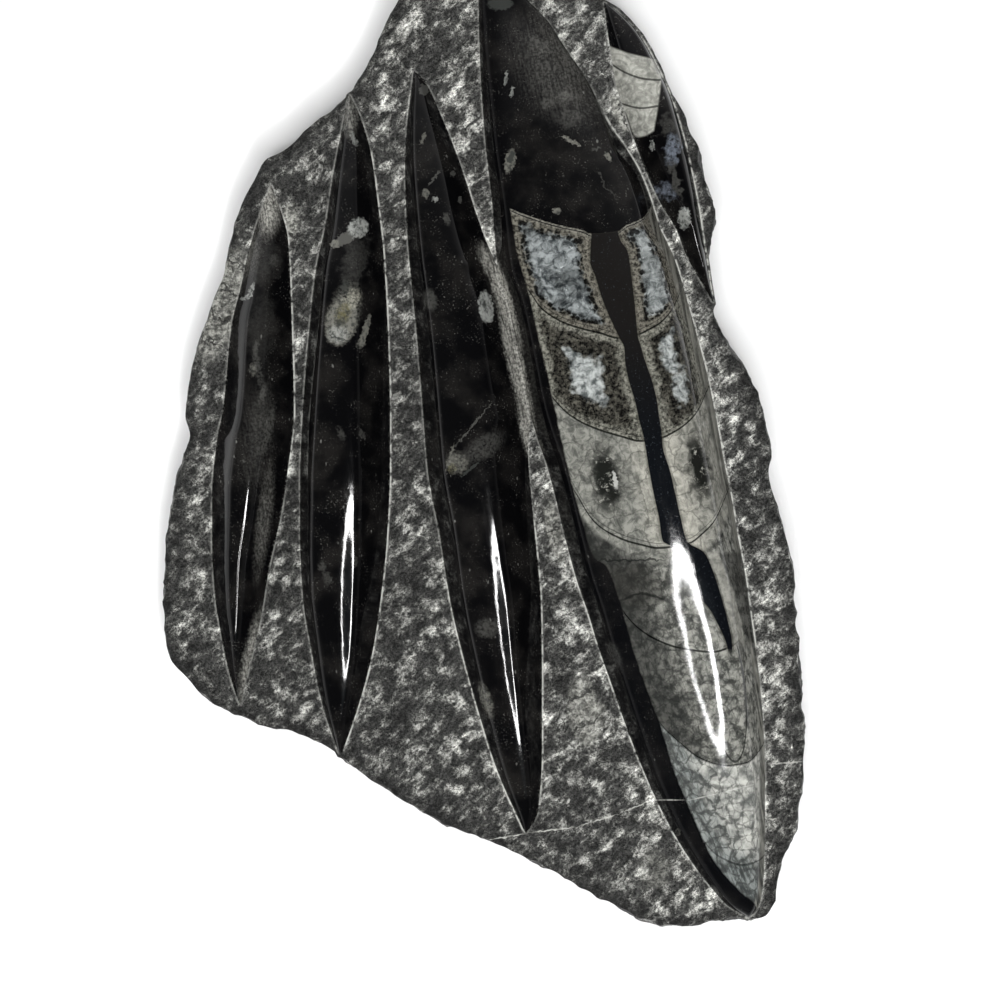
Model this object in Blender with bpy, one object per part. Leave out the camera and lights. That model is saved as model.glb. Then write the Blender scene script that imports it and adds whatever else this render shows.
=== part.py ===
"""Orthoceras fossil plate: a slab of black limestone with five polished spindles carved out of it.

One natural piece of stone, lying on its flat sawn back. +Z comes out of the carved face, +Y runs to the
slab's narrow end. The origin is the middle of the footprint on the back face.
"""
import math
import random

import bmesh
import bpy
from mathutils import Vector, noise
from mathutils.geometry import delaunay_2d_cdt

# ---------------------------------------------------------------- driving dimensions (metres)
MM = 0.001
UNIT = 0.25 * MM              # one drawing unit of the outlines below
CENTRE = (484.0, 431.5)       # the drawing point over the origin; drawing y runs down the slab
GROUND = 25.0 * MM            # height of the pecked ground between the spindles
WALL_LEVELS = (0.0, 6.0 * MM, 12.5 * MM, 18.5 * MM, 22.8 * MM)
WALL_INSET = (2.2 * MM, 0.6 * MM, 0.2 * MM, 0.0, 0.0)
WALL_ROUGH = (1.2 * MM, 2.4 * MM, 2.6 * MM, 2.0 * MM, 0.0)
RIM_DROP = 1.5 * MM           # the ground falls this much at the chipped rim
RIM_WIDTH = 5.0 * MM          # over this width
EDGE_STEP = 4.2 * MM          # spacing of the chips round the outline
CHIP_DEPTH = 0.55 * MM
PECK_STEP = 3.5 * MM          # spacing of the pecked lumps and pits
PECK_HEIGHT = 0.55 * MM
SWELL = 0.7 * MM              # slow rise and fall of the ground
ROOT = 4.0 * MM               # how far a spindle reaches down into the slab
SHOULDER_BLEND = 0.9 * MM     # rounding between flank and crown
TIP_WIDTH = 0.7 * MM
SEED = 11

# Slab outline in drawing units, from the middle of the narrow end round by the left side.
SLAB = [
    (475, -67), (445, -60), (420, -44), (404, -22), (393, 3), (380, 30), (369, 56), (350, 88), (331, 107),
    (317, 116), (300, 130), (281, 145), (262, 159), (250, 180), (243, 196), (234, 216), (228, 241), (221, 270),
    (211, 300), (200, 330), (191, 361), (185, 395), (183, 417), (186, 436), (179, 461), (171, 490), (165, 521),
    (162, 555), (160, 600), (162, 640), (169, 662), (185, 681), (205, 701), (231, 716), (260, 728), (291, 736),
    (320, 748), (346, 765), (380, 790), (411, 808), (445, 828), (481, 841), (520, 858), (560, 880), (600, 903),
    (640, 923), (666, 930), (700, 929), (718, 925), (737, 922), (752, 923), (767, 919), (776, 907), (782, 890),
    (784, 872), (792, 852), (800, 831), (804, 800), (808, 761), (808, 730), (805, 690), (803, 650), (800, 620), (798, 590), (795, 555), (786, 525), (778, 500),
    (772, 471), (775, 450), (768, 425), (765, 400), (755, 380), (740, 355), (725, 331), (719, 312), (715, 294),
    (712, 265), (714, 245), (718, 214), (712, 188), (705, 167), (700, 143), (693, 131), (686, 110), (680, 96),
    (671, 84), (663, 65), (651, 42), (640, 25), (621, 6), (604, -5), (577, -24), (545, -45), (510, -61),
]

# Each spindle: its two edges at ground level as (y, x) from tip to tip, the height of its crown, the slope
# of its flanks, how much its crown falls away to the flanks, and how far the crown leans to the right.
SPINDLES = {
    "first": dict(
        left=[(185, 270.5), (217, 259), (249, 249), (290, 240), (322, 232), (410, 223), (440, 217), (495, 212),
              (546, 212), (597, 215), (635, 221), (673, 229), (704, 239)],
        right=[(185, 271.5), (240, 288), (330, 292), (410, 294), (469, 288), (520, 280), (564, 270),
               (622, 260), (655, 252), (704, 240.5)],
        crown=8.0 * MM, flank=(1.5, 1.1), fall=0.42, lean=0.04, columns=8),
    "second": dict(
        left=[(94, 348.5), (112, 345), (175, 333), (227, 325), (269, 316), (322, 310), (410, 303), (482, 300),
              (533, 300), (597, 303), (648, 311), (699, 321), (756, 339)],
        right=[(94, 349.5), (116, 360), (154, 371), (196, 377), (259, 384), (333, 388), (410, 390), (469, 390),
               (538, 387), (597, 381), (655, 372), (704, 359), (756, 341)],
        crown=9.5 * MM, flank=(2.2, 1.7), fall=0.42, lean=0.03, columns=9),
    "third": dict(
        left=[(71, 413.5), (139, 406), (168, 405), (208, 406), (257, 409), (307, 414), (350, 418), (400, 422),
              (473, 428), (532, 439), (600, 450), (664, 465), (717, 480), (770, 497), (833, 525)],
        right=[(71, 414.5), (80, 424), (113, 440), (147, 454), (178, 465), (210, 475), (238, 485), (270, 498),
               (305, 510), (359, 521), (412, 531), (450, 528), (503, 532), (555, 537), (605, 541), (679, 542),
               (752, 542), (811, 538), (833, 527)],
        crown=10.0 * MM, flank=(2.1, 1.5), fall=0.42, lean=0.06, columns=10),
    "fourth": dict(
        left=[(-42, 479), (0, 478.5), (60, 480), (138, 485), (202, 492), (270, 498), (305, 509), (359, 520),
              (412, 530), (440, 538), (466, 547), (500, 556), (541, 566), (581, 577), (613, 588), (649, 599),
              (683, 611), (726, 626), (772, 644), (821, 667), (861, 691), (891, 714), (906, 728), (918, 748)],
        right=[(-42, 480.5), (-22, 506), (0, 527), (23, 549), (46, 564), (80, 587), (125, 610), (145, 624),
               (172, 640), (200, 651), (225, 659), (255, 673), (282, 682), (314, 691), (350, 701), (382, 709),
               (417, 716), (465, 725), (500, 732), (536, 738), (572, 745), (615, 751), (673, 759), (719, 763),
               (770, 765), (821, 765), (872, 764), (893, 762), (910, 757), (918, 750)],
        crown=15.0 * MM, flank=(2.4, 2.4), fall=0.46, lean=0.10, columns=16),
    "fifth": dict(
        left=[(2, 604), (35, 608), (61, 612), (86, 616), (106, 623), (131, 631), (153, 639), (178, 649),
              (204, 661), (229, 676), (257, 687), (278, 699), (302, 713)],
        right=[(2, 605), (8, 614), (26, 633), (41, 644), (63, 656), (96, 671), (131, 682), (173, 692),
               (204, 698), (235, 703), (265, 708), (286, 711), (302, 714.5)],
        crown=4.6 * MM, flank=(1.3, 1.6), fall=0.35, lean=0.0, columns=7),
}


def place(x, y):
    """A drawing point as x and y in metres."""
    return (x - CENTRE[0]) * UNIT, (CENTRE[1] - y) * UNIT


def smooth_between(points, value):
    """Smooth curve through (key, value) pairs that doesn't overshoot between them."""
    keys = [p[0] for p in points]
    vals = [p[1] for p in points]
    value = min(max(value, keys[0]), keys[-1])
    i = 0
    while i < len(keys) - 2 and keys[i + 1] < value:
        i += 1
    steps = [(vals[j + 1] - vals[j]) / (keys[j + 1] - keys[j]) for j in range(len(keys) - 1)]

    def slope(j):
        if j == 0:
            return steps[0]
        if j == len(keys) - 1:
            return steps[-1]
        a = steps[j - 1]
        b = steps[j]
        if a * b <= 0.0:
            return 0.0
        return 2.0 * a * b / (a + b)

    width = keys[i + 1] - keys[i]
    t = (value - keys[i]) / width
    h00 = (1.0 + 2.0 * t) * (1.0 - t) ** 2
    h10 = t * (1.0 - t) ** 2
    h01 = t * t * (3.0 - 2.0 * t)
    h11 = t * t * (t - 1.0)
    return h00 * vals[i] + h10 * width * slope(i) + h01 * vals[i + 1] + h11 * width * slope(i + 1)


def blend_min(a, b, radius):
    """The lower of two heights, rounded where they meet."""
    h = max(radius - abs(a - b), 0.0) / radius
    return min(a, b) - h * h * radius * 0.25


def spindle_height(spindle, x, y):
    """Height of a spindle over the ground, x and y in drawing units."""
    top = spindle["left"][0][0]
    bottom = spindle["left"][-1][0]
    xl = smooth_between(spindle["left"], y)
    xr = smooth_between(spindle["right"], y)
    lean_l = math.cos(math.atan((smooth_between(spindle["left"], y + 4) - xl) / 4.0))
    lean_r = math.cos(math.atan((smooth_between(spindle["right"], y + 4) - xr) / 4.0))
    t = (y - top) / (bottom - top)
    arch = max(math.sin(math.pi * min(max(t, 0.0), 1.0)), 0.0) ** 0.7
    rise_l = spindle["flank"][0] * max(x - xl, 0.0) * lean_l * UNIT
    rise_r = spindle["flank"][1] * max(xr - x, 0.0) * lean_r * UNIT
    v = (2.0 * x - xl - xr) / max(xr - xl, 0.01)
    lean = spindle["lean"] * 2.0
    crown = spindle["crown"] * arch * (1.0 - spindle["fall"] * v * v + lean * (v - v ** 3)) + 0.5 * MM
    flank = blend_min(rise_l, rise_r, SHOULDER_BLEND)
    return max(blend_min(flank, crown, SHOULDER_BLEND), 0.0)


def smooth_outline(points, step):
    """Even points along the closed smooth curve through the outline's points."""
    path = []
    count = len(points)
    for i in range(count):
        p0, p1, p2, p3 = (Vector(points[(i + k - 1) % count]) for k in range(4))
        for k in range(12):
            t = k / 12.0
            path.append(0.5 * (2.0 * p1 + (p2 - p0) * t + (2.0 * p0 - 5.0 * p1 + 4.0 * p2 - p3) * t * t
                               + (3.0 * p1 - p0 - 3.0 * p2 + p3) * t ** 3))
    lengths = [0.0]
    for a, b in zip(path, path[1:] + path[:1]):
        lengths.append(lengths[-1] + (b - a).length)
    total = lengths[-1]
    number = int(round(total / step))
    even = []
    j = 0
    for i in range(number):
        want = total * i / number
        while lengths[j + 1] < want:
            j += 1
        t = (want - lengths[j]) / (lengths[j + 1] - lengths[j])
        even.append(path[j].lerp(path[(j + 1) % len(path)], t))
    return even


def inward(points):
    """Unit vectors that point into a closed outline."""
    area = sum(a.cross(b) for a, b in zip(points, points[1:] + points[:1]))
    side = 1.0 if area > 0.0 else -1.0
    result = []
    for i in range(len(points)):
        along = points[(i + 1) % len(points)] - points[i - 1]
        result.append(Vector((-along.y, along.x)).normalized() * side)
    return result


def distance_to(outline, point):
    """Distance from a point to the closed outline."""
    best = 1.0e9
    for a, b in zip(outline, outline[1:] + outline[:1]):
        along = b - a
        t = min(max((point - a).dot(along) / along.length_squared, 0.0), 1.0)
        best = min(best, (a + along * t - point).length)
    return best


def inside(outline, point):
    """True where the point lies within the closed outline."""
    odd = False
    for a, b in zip(outline, outline[1:] + outline[:1]):
        if (a.y > point.y) != (b.y > point.y):
            if point.x < a.x + (point.y - a.y) / (b.y - a.y) * (b.x - a.x):
                odd = not odd
    return odd


def covered(x, y):
    """How high over the ground the spindles stand at a drawing point."""
    best = 0.0
    for spindle in SPINDLES.values():
        if spindle["left"][0][0] < y < spindle["left"][-1][0]:
            xl = smooth_between(spindle["left"], y)
            xr = smooth_between(spindle["right"], y)
            if xl < x < xr:
                best = max(best, spindle_height(spindle, x, y))
    return best


def slab_mesh():
    """The slab: chipped rim, rough walls, flat back and a pecked ground."""
    random.seed(SEED)
    rim = [Vector(place(p.x, p.y)) for p in smooth_outline([Vector(q) for q in SLAB], EDGE_STEP / UNIT)]
    into = inward(rim)
    rim = [p + n * CHIP_DEPTH * random.choice((0.0, 0.15, 1.0)) for p, n in zip(rim, into)]
    bm = bmesh.new()

    rings = []
    for level, inset, rough in zip(WALL_LEVELS, WALL_INSET, WALL_ROUGH):
        ring = []
        for p, n in zip(rim, into):
            shift = inset + rough * (0.5 + 0.5 * noise.noise(Vector((p.x, p.y, level * 1.6)) * 105.0))
            lift = 0.0 if level == 0.0 else 1.6 * MM * noise.noise(Vector((p.y, p.x, level)) * 130.0)
            ring.append(bm.verts.new((p.x + n.x * shift, p.y + n.y * shift, level + lift)))
        rings.append(ring)
    for low, high in zip(rings, rings[1:]):
        for i in range(len(rim)):
            j = (i + 1) % len(rim)
            bm.faces.new((low[i], low[j], high[j], high[i]))
    bm.faces.new(list(reversed(rings[0])))

    flat = [v.co.xy for v in rings[-1]]
    loose = []
    across = PECK_STEP * math.sqrt(0.75)
    for row in range(-40, 41):
        for col in range(-32, 33):
            x = (col + 0.5 * (row % 2)) * PECK_STEP + random.uniform(-0.28, 0.28) * PECK_STEP
            y = row * across + random.uniform(-0.28, 0.28) * PECK_STEP
            point = Vector((x, y))
            if not inside(flat, point) or distance_to(flat, point) < 0.5 * PECK_STEP:
                continue
            if covered(x / UNIT + CENTRE[0], CENTRE[1] - y / UNIT) > 2.0 * MM:
                continue
            loose.append(point)
    count = len(flat)
    edges = [(i, (i + 1) % count) for i in range(count)]
    points, _, faces, origin, _, _ = delaunay_2d_cdt(flat + loose, edges, [list(range(count))], 1, 1.0e-7)
    lift = []
    for index, point in enumerate(points):
        if index < count:
            lift.append(rings[-1][origin[index][0]])
            continue
        near = distance_to(flat, point)
        droop = RIM_DROP * max(1.0 - near / RIM_WIDTH, 0.0) ** 2
        swell = SWELL * noise.noise(Vector((point.x, point.y, 0.3)) * 28.0)
        peck = PECK_HEIGHT * random.choice((-1.0, -0.4, 0.3, 0.8, 1.0))
        lift.append(bm.verts.new((point.x, point.y, GROUND + swell + peck - droop)))
    for face in faces:
        bm.faces.new([lift[i] for i in face])
    bmesh.ops.recalc_face_normals(bm, faces=bm.faces)
    return bm


def spindle_mesh(spindle):
    """One spindle: rows from tip to tip over flank, shoulder and crown, closed down into the slab."""
    top = spindle["left"][0][0]
    bottom = spindle["left"][-1][0]
    rows = max(int((bottom - top) * UNIT / (6.5 * MM)), 10)
    bm = bmesh.new()
    previous = None
    for row in range(rows + 1):
        s = 0.5 - 0.5 * math.cos(math.pi * row / rows)
        y = top + (bottom - top) * (0.55 * s + 0.45 * row / rows)
        xl = smooth_between(spindle["left"], y)
        xr = smooth_between(spindle["right"], y)
        width = max(xr - xl, TIP_WIDTH / UNIT)
        middle = 0.5 * (xl + xr)
        xl = middle - 0.5 * width
        xr = middle + 0.5 * width
        shoulder = min(0.22 * width, 17.0)
        stations = [xl, xl + 0.5 * shoulder, xl + shoulder]
        inner = spindle["columns"] - 4
        for k in range(1, inner):
            stations.append(xl + shoulder + (width - 2.0 * shoulder) * k / inner)
        stations += [xr - shoulder, xr - 0.5 * shoulder, xr]
        ring = []
        for x in stations:
            px, py = place(x, y)
            ring.append(bm.verts.new((px, py, GROUND + spindle_height(spindle, x, y))))
        for x in (xr, xl):
            px, py = place(x, y)
            ring.append(bm.verts.new((px, py, GROUND - ROOT)))
        if previous is None:
            bm.faces.new(ring)
        else:
            for i in range(len(ring)):
                j = (i + 1) % len(ring)
                bm.faces.new((previous[i], ring[i], ring[j], previous[j]))
        previous = ring
    bm.faces.new(list(reversed(previous)))
    bmesh.ops.recalc_face_normals(bm, faces=bm.faces)
    return bm


def add_object(name, bm, collection):
    """A mesh object from the built shape."""
    mesh = bpy.data.meshes.new(name)
    bm.to_mesh(mesh)
    bm.free()
    obj = bpy.data.objects.new(name, mesh)
    collection.objects.link(obj)
    return obj


def new_collection(name):
    """A collection in the scene."""
    collection = bpy.data.collections.new(name)
    bpy.context.scene.collection.children.link(collection)
    return collection


def limestone():
    """Polished black limestone."""
    material = bpy.data.materials.new("black_limestone")
    material.use_nodes = True
    shader = material.node_tree.nodes["Principled BSDF"]
    shader.inputs["Base Color"].default_value = (0.052, 0.053, 0.05, 1.0)
    shader.inputs["Roughness"].default_value = 0.42
    shader.inputs["Metallic"].default_value = 0.0
    return material


def main():
    for obj in list(bpy.data.objects):
        bpy.data.objects.remove(obj, do_unlink=True)
    parts = new_collection("orthoceras_fossil")
    cutters = new_collection("spindle_bodies")
    slab = add_object("fossil_slab", slab_mesh(), parts)
    slab.data.materials.append(limestone())
    for name, spindle in SPINDLES.items():
        body = add_object(name + "_spindle_body", spindle_mesh(spindle), cutters)
        body.hide_render = True
        body.display_type = "WIRE"
        union = slab.modifiers.new(name, "BOOLEAN")
        union.operation = "UNION"
        union.solver = "EXACT"
        union.object = body


main()
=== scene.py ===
"""Looks of the orthoceras fossil plate: one closed mesh of the carved slab, its stone, the studio and the camera.

Feature positions are in drawing units: pixels of a 1000 x 1000 picture of the slab seen from straight above, x to
the right and y down, a quarter of a millimetre each on the plane of the pecked ground.
"""
import math
import random

import bmesh
import bpy
import numpy as np
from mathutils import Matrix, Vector, noise
from mathutils.geometry import delaunay_2d_cdt
from mathutils.kdtree import KDTree


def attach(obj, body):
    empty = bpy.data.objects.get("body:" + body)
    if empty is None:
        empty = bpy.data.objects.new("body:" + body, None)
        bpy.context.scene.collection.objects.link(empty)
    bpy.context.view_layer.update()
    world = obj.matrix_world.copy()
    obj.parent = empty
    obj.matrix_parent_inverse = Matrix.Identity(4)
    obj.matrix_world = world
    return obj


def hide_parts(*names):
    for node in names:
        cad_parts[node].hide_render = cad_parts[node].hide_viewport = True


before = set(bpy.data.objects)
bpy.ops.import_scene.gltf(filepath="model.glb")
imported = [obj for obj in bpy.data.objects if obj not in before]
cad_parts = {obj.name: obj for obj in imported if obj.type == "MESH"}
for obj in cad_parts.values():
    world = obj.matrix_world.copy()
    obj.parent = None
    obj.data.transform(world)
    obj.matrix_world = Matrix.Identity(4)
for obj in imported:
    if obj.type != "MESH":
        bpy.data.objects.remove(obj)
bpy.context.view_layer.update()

# ---------------------------------------------------------------- sizes, in millimetres unless said
UNIT = 0.25                  # one drawing unit
CENTRE = (484.0, 431.5)      # drawing point over the slab's origin
GROUND = 25.0                # height of the pecked ground
PICTURE = 500.0              # the middle of the drawing, under the camera
CAMERA_UP = 650.0            # camera height over the ground
ROW = 3.2                    # drawing units between mesh rows on the spindles
GRAIN = 0.56                 # mesh spacing on the pecked ground
RIM_STEP = 0.8               # mesh spacing round the rim
RIM_DROP = 1.5               # how far the ground falls at the rim
RIM_WIDTH = 5.0              # how wide that fall is
SWELL = 0.7                  # height of the ground's slow swells
STRIKE_STEP = 4.1            # spacing of the point tool's blows
STRIKE_JITTER = 0.34         # how far they stray, as a share of that
STRIKE_SIZE = (1.7, 2.7)     # radius of a mark, from and to
STRIKE_DEPTH = (0.35, 0.95)
STRIKE_STRETCH = 1.15        # length over width
STREAKS = (35.0, 60.0)       # up the slab from and to here the blows turn one way and grow longer,
STREAK_STRETCH = 0.9         # by this much
STREAK_TURN = math.radians(58.0)
CRUSHED = (0.15, 0.3, 0.5, 0.8, 1.0, 1.0)    # how white a blow leaves the stone
VALLEY = 4.0                 # rounding of the valley where the third and fourth spindle touch
VALLEY_HEIGHTS = (240, 460)  # drawing heights that it lies between
VALLEY_REACH = 5.0           # widest gap, in drawing units, that still counts as touching
SHOULDER_BLEND = 0.9         # rounding between a spindle's flank and its crown
TIP = 1.2                    # drawing units from a spindle's tip to its first row
FLANK_COLUMNS = np.array([0.0, 0.10, 0.30, 0.5, 0.7, 0.86, 1.0])     # mesh columns as shares of a flank's width
HALF_WIDE, HALF_LONG = 84, 128    # the area that the ground's points cover
# Chips along the rim and down the sides, as ranges: from one to the next, depth below the rim, size and bite.
RIM_CHIPS = dict(gap=(2.8, 6.5), depth=(-0.5, 3.0), size=(2.0, 4.2), bite=(0.3, 1.1))
SIDE_CHIPS = dict(number=260, depth=(3.0, 24.0), size=(3.0, 8.0), bite=(0.3, 1.4))
# The rim's chips bite in full right of or below these drawing points, less below the third, and least elsewhere.
CHIPPED_RIGHT, CHIPPED_LOW, CHIPPED = 690, 880, 1.0
LESS_CHIPPED_LOW, LESS_CHIPPED, LEAST_CHIPPED = 420, 0.75, 0.3
SIDE_DEPTHS = [0.35, 0.9, 1.7, 2.8, *np.linspace(4.2, 23.6, 15)]     # mesh rings below the rim
FAR = 8.0                    # distances in the fields end here
# Edges with a clear crushed white line: spindle, side, from and to which drawing height; and how faint others are.
TRIMMED = [("first", 1, 225, 470), ("second", 1, 150, 740), ("third", 1, 175, 300), ("third", 1, 520, 800),
           ("third", 0, 590, 825), ("fourth", 0, 560, 880), ("fourth", 1, 120, 640), ("fifth", 1, 40, 290)]
FAINT_TRIM = 0.30
SHEER = 2.5                  # how much steeper the fourth spindle's right flank is near its tip,
SHEER_END = (95.0, 150.0)    # fading between these drawing heights
SEED = 7

# The slab's rim, in drawing points.
SLAB = [
    (475, -67), (445, -60), (420, -44), (404, -22), (393, 3), (380, 30), (369, 56), (350, 88), (331, 107),
    (317, 116), (300, 130), (281, 145), (262, 159), (250, 180), (243, 196), (234, 216), (228, 241), (221, 270),
    (211, 300), (200, 330), (191, 361), (185, 395), (183, 417), (186, 436), (179, 461), (171, 490), (165, 521),
    (162, 555), (160, 600), (162, 640), (169, 662), (185, 681), (205, 701), (231, 716), (260, 728), (291, 736),
    (320, 748), (346, 765), (380, 790), (411, 808), (445, 828), (481, 841), (520, 858), (560, 880), (600, 903),
    (640, 923), (666, 930), (700, 929), (718, 925), (737, 922), (752, 923), (767, 919), (776, 907), (782, 890),
    (784, 872), (792, 852), (800, 831), (804, 800), (808, 761), (808, 730), (805, 690), (803, 650), (800, 620),
    (798, 590), (795, 555), (786, 525), (778, 500), (772, 471), (775, 450), (768, 425), (765, 400), (755, 380),
    (740, 355), (725, 331), (719, 312), (715, 294), (712, 265), (714, 245), (718, 214), (712, 188), (705, 167),
    (700, 143), (693, 131), (686, 110), (680, 96), (671, 84), (663, 65), (651, 42), (640, 25), (621, 6), (604, -5),
    (577, -24), (545, -45), (510, -61),
]

# Spindle edges at ground level as (y, x); crown height; flank slopes; how the crown falls to its sides; its lean
# to the right; the exponents that move its highest point along and round its ends; mesh columns over the crown.
SPINDLES = {
    "first": dict(
        left=[(185, 270.5), (217, 259), (249, 249), (290, 240), (322, 232), (410, 223), (440, 217), (495, 212),
              (546, 212), (597, 215), (635, 221), (673, 229), (704, 239)],
        right=[(185, 271.5), (240, 288), (330, 292), (410, 294), (469, 288), (520, 280), (564, 270),
               (622, 260), (655, 252), (704, 240.5)],
        crown=8.0, flank=(1.5, 1.1), fall=(0.30, 0.04), lean=0.04, shift=0.0, peak=1.0, arch=0.7, columns=16),
    "second": dict(
        left=[(94, 348.5), (112, 345), (175, 333), (227, 325), (269, 316), (322, 310), (410, 303), (482, 300),
              (533, 300), (597, 303), (648, 311), (699, 321), (756, 339)],
        right=[(94, 349.5), (116, 360), (154, 371), (196, 377), (259, 384), (333, 388), (410, 390), (469, 390),
               (538, 387), (597, 381), (655, 372), (704, 359), (756, 341)],
        crown=9.5, flank=(2.4, 1.3), fall=(0.30, 0.05), lean=0.03, shift=0.0, peak=0.93, arch=0.7, columns=20),
    "third": dict(
        left=[(71, 413.5), (139, 406), (168, 405), (208, 406), (257, 409), (307, 414), (350, 418), (400, 422),
              (473, 428), (532, 439), (600, 450), (664, 465), (717, 480), (770, 497), (833, 525)],
        right=[(71, 414.5), (80, 424), (113, 440), (147, 454), (178, 465), (210, 475), (238, 485), (270, 498),
               (305, 510), (359, 521), (412, 531), (450, 528), (503, 532), (555, 537), (605, 541), (679, 542),
               (752, 542), (811, 538), (833, 527)],
        crown=10.0, flank=(2.1, 1.2), fall=(0.30, 0.05), lean=0.06, shift=0.0, peak=0.97, arch=0.7, columns=22),
    "fourth": dict(
        left=[(-42, 479), (0, 478.5), (60, 480), (138, 485), (202, 492), (270, 498), (305, 509), (359, 520),
              (412, 530), (440, 538), (466, 547), (500, 556), (541, 566), (581, 577), (613, 588), (649, 599),
              (683, 611), (726, 626), (772, 644), (821, 667), (861, 691), (891, 714), (906, 728), (918, 748)],
        right=[(-42, 480.5), (-22, 506), (0, 527), (23, 549), (46, 564), (80, 587), (125, 610), (145, 624),
               (172, 640), (200, 651), (225, 659), (255, 673), (282, 682), (314, 691), (350, 701), (382, 709),
               (417, 716), (465, 725), (500, 732), (536, 738), (572, 745), (615, 751), (673, 759), (719, 763),
               (770, 765), (821, 765), (872, 764), (893, 762), (910, 757), (918, 750)],
        crown=15.0, flank=(3.0, 2.4), fall=(0.22, 0.12), lean=0.06, shift=0.26, peak=1.18, arch=0.55, columns=38),
    "fifth": dict(
        left=[(2, 604), (35, 608), (61, 612), (86, 616), (106, 623), (131, 631), (153, 639), (178, 649),
              (204, 661), (229, 676), (257, 687), (278, 699), (302, 713)],
        right=[(2, 605), (8, 614), (26, 633), (41, 644), (63, 656), (96, 671), (131, 682), (173, 692),
               (204, 698), (235, 703), (265, 708), (286, 711), (302, 714.5)],
        crown=4.6, flank=(1.3, 2.4), fall=(0.28, 0.05), lean=0.0, shift=0.0, peak=1.0, arch=0.7, columns=14),
}

# The big chambered shell in the fourth spindle. Septa as (x, y) from its left wall to its right wall.
SEPTA = [
    [(500, 197), (507, 206), (530, 216), (560, 225), (583, 230), (592, 234), (617, 232), (624, 226), (643, 217),
     (650, 207), (656, 194)],
    [(524, 284), (532, 295), (540, 307), (553, 317), (567, 324), (583, 329), (600, 333), (618, 338), (637, 335),
     (648, 330), (660, 323), (671, 311), (678, 297), (684, 280)],
    [(545, 384), (553, 398), (560, 406), (567, 413), (583, 423), (600, 430), (620, 436), (640, 441), (661, 438),
     (674, 432), (687, 423), (697, 412), (703, 400), (708, 386)],
    [(568, 480), (580, 500), (588, 514), (600, 527), (613, 535), (627, 541), (642, 545), (657, 548), (690, 543),
     (702, 534), (713, 523), (720, 510), (725, 497), (732, 480)],
    [(608, 588), (620, 607), (637, 627), (657, 640), (680, 648), (713, 652), (732, 646), (747, 630), (752, 607),
     (757, 590)],
    [(648, 706), (663, 727), (680, 743), (703, 760), (727, 766), (747, 763), (762, 747), (768, 730)],
    [(690, 815), (703, 840), (720, 857), (743, 865), (760, 860), (768, 850)],
]
SHELL_HEIGHTS = (175, 925)   # drawing heights that it lies between
SHELL_LEFT = [(180, 504), (196, 508), (251, 517), (291, 528), (339, 539), (391, 551), (460, 566), (520, 582),
              (557, 594), (566, 606), (590, 616), (616, 624), (652, 634), (695, 649), (724, 660), (764, 672),
              (798, 685), (828, 698), (859, 713), (884, 733), (905, 756)]
SIPHUNCLE_LEFT = [(228, 592), (245, 590.5), (262, 590), (276, 595), (300, 602.5), (327, 614), (340, 620.5),
                  (347, 624), (362, 625), (380, 628.5), (400, 634.5), (420, 639), (437, 643.5), (458, 647),
                  (489, 652.5), (519, 659), (541, 662.5), (553, 686), (566, 689.5), (581, 693), (600, 702),
                  (610, 710), (625, 718), (640, 725), (650, 728)]
SIPHUNCLE_RIGHT = [(228, 617), (240, 620.5), (252, 628), (276, 631.5), (300, 634.5), (327, 637), (336, 638),
                   (346, 641), (360, 645), (380, 652), (400, 657), (418, 659.5), (430, 661.5), (447, 663),
                   (470, 670), (489, 674.5), (518, 681), (542, 687.5), (552, 704), (564, 710.5), (585, 718),
                   (607, 724.5), (625, 729), (640, 732), (650, 732.5)]

# Drawing heights in the big shell that a change fades between.
BLUISH_LOW = (838, 872)      # the last chamber turns bluish
BLACK_BESIDE = (400, 620)    # the stone beside the shell turns deeper black
TUBE_BLACK = (300, 460)      # the siphuncle turns deeper black
TUBE_END = (648, 656)        # the siphuncle ends
COLUMN_TOP, COLUMN_END = (549, 556), (636, 652)      # the pale column beside the siphuncle
# Ovals in the big shell: x, y, half width, half height, turn.
DARK_HEARTS = [(606, 478, 16, 36, -12), (699, 466, 12, 38, -10)]
SLIVER = (615, 480, 2.2, 9, -10)
GLOOM = (636, 586, 34, 26, 20)
CRACK = (630, 560, 40, 1.3, -1)
ARC, ARC_ENDS = (641, 618, 30, 24, -10), (598, 604)
HOOK = (728, 690, 17, 72, -6)
# The hook starts at its top; from there to its low part only what lies right of a slanting line shows.
HOOK_TOP, HOOK_LOW, HOOK_SLANT, HOOK_RIGHT = (640, 650), (742, 746), -0.2126, (584, 588)

# The small shell in the fifth spindle: its corner of the drawing, its outline and its septa.
SMALL_CORNER = (590, 160)
SMALL_SHELL = [(602, 42), (612, 47), (628, 53), (645, 57), (660, 60), (662, 78), (658, 108), (654, 131),
               (646, 136), (636, 138), (632, 132), (626, 113), (610, 104)]
SMALL_SEPTA = [[(600, 50), (613, 65), (631, 75), (645, 79), (659, 80), (670, 78)],
               [(600, 90), (623, 104), (641, 108), (657, 106), (670, 103)]]


def place(x, y):
    """A drawing point on the ground plane, in millimetres."""
    return (x - CENTRE[0]) * UNIT, (CENTRE[1] - y) * UNIT


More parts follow.
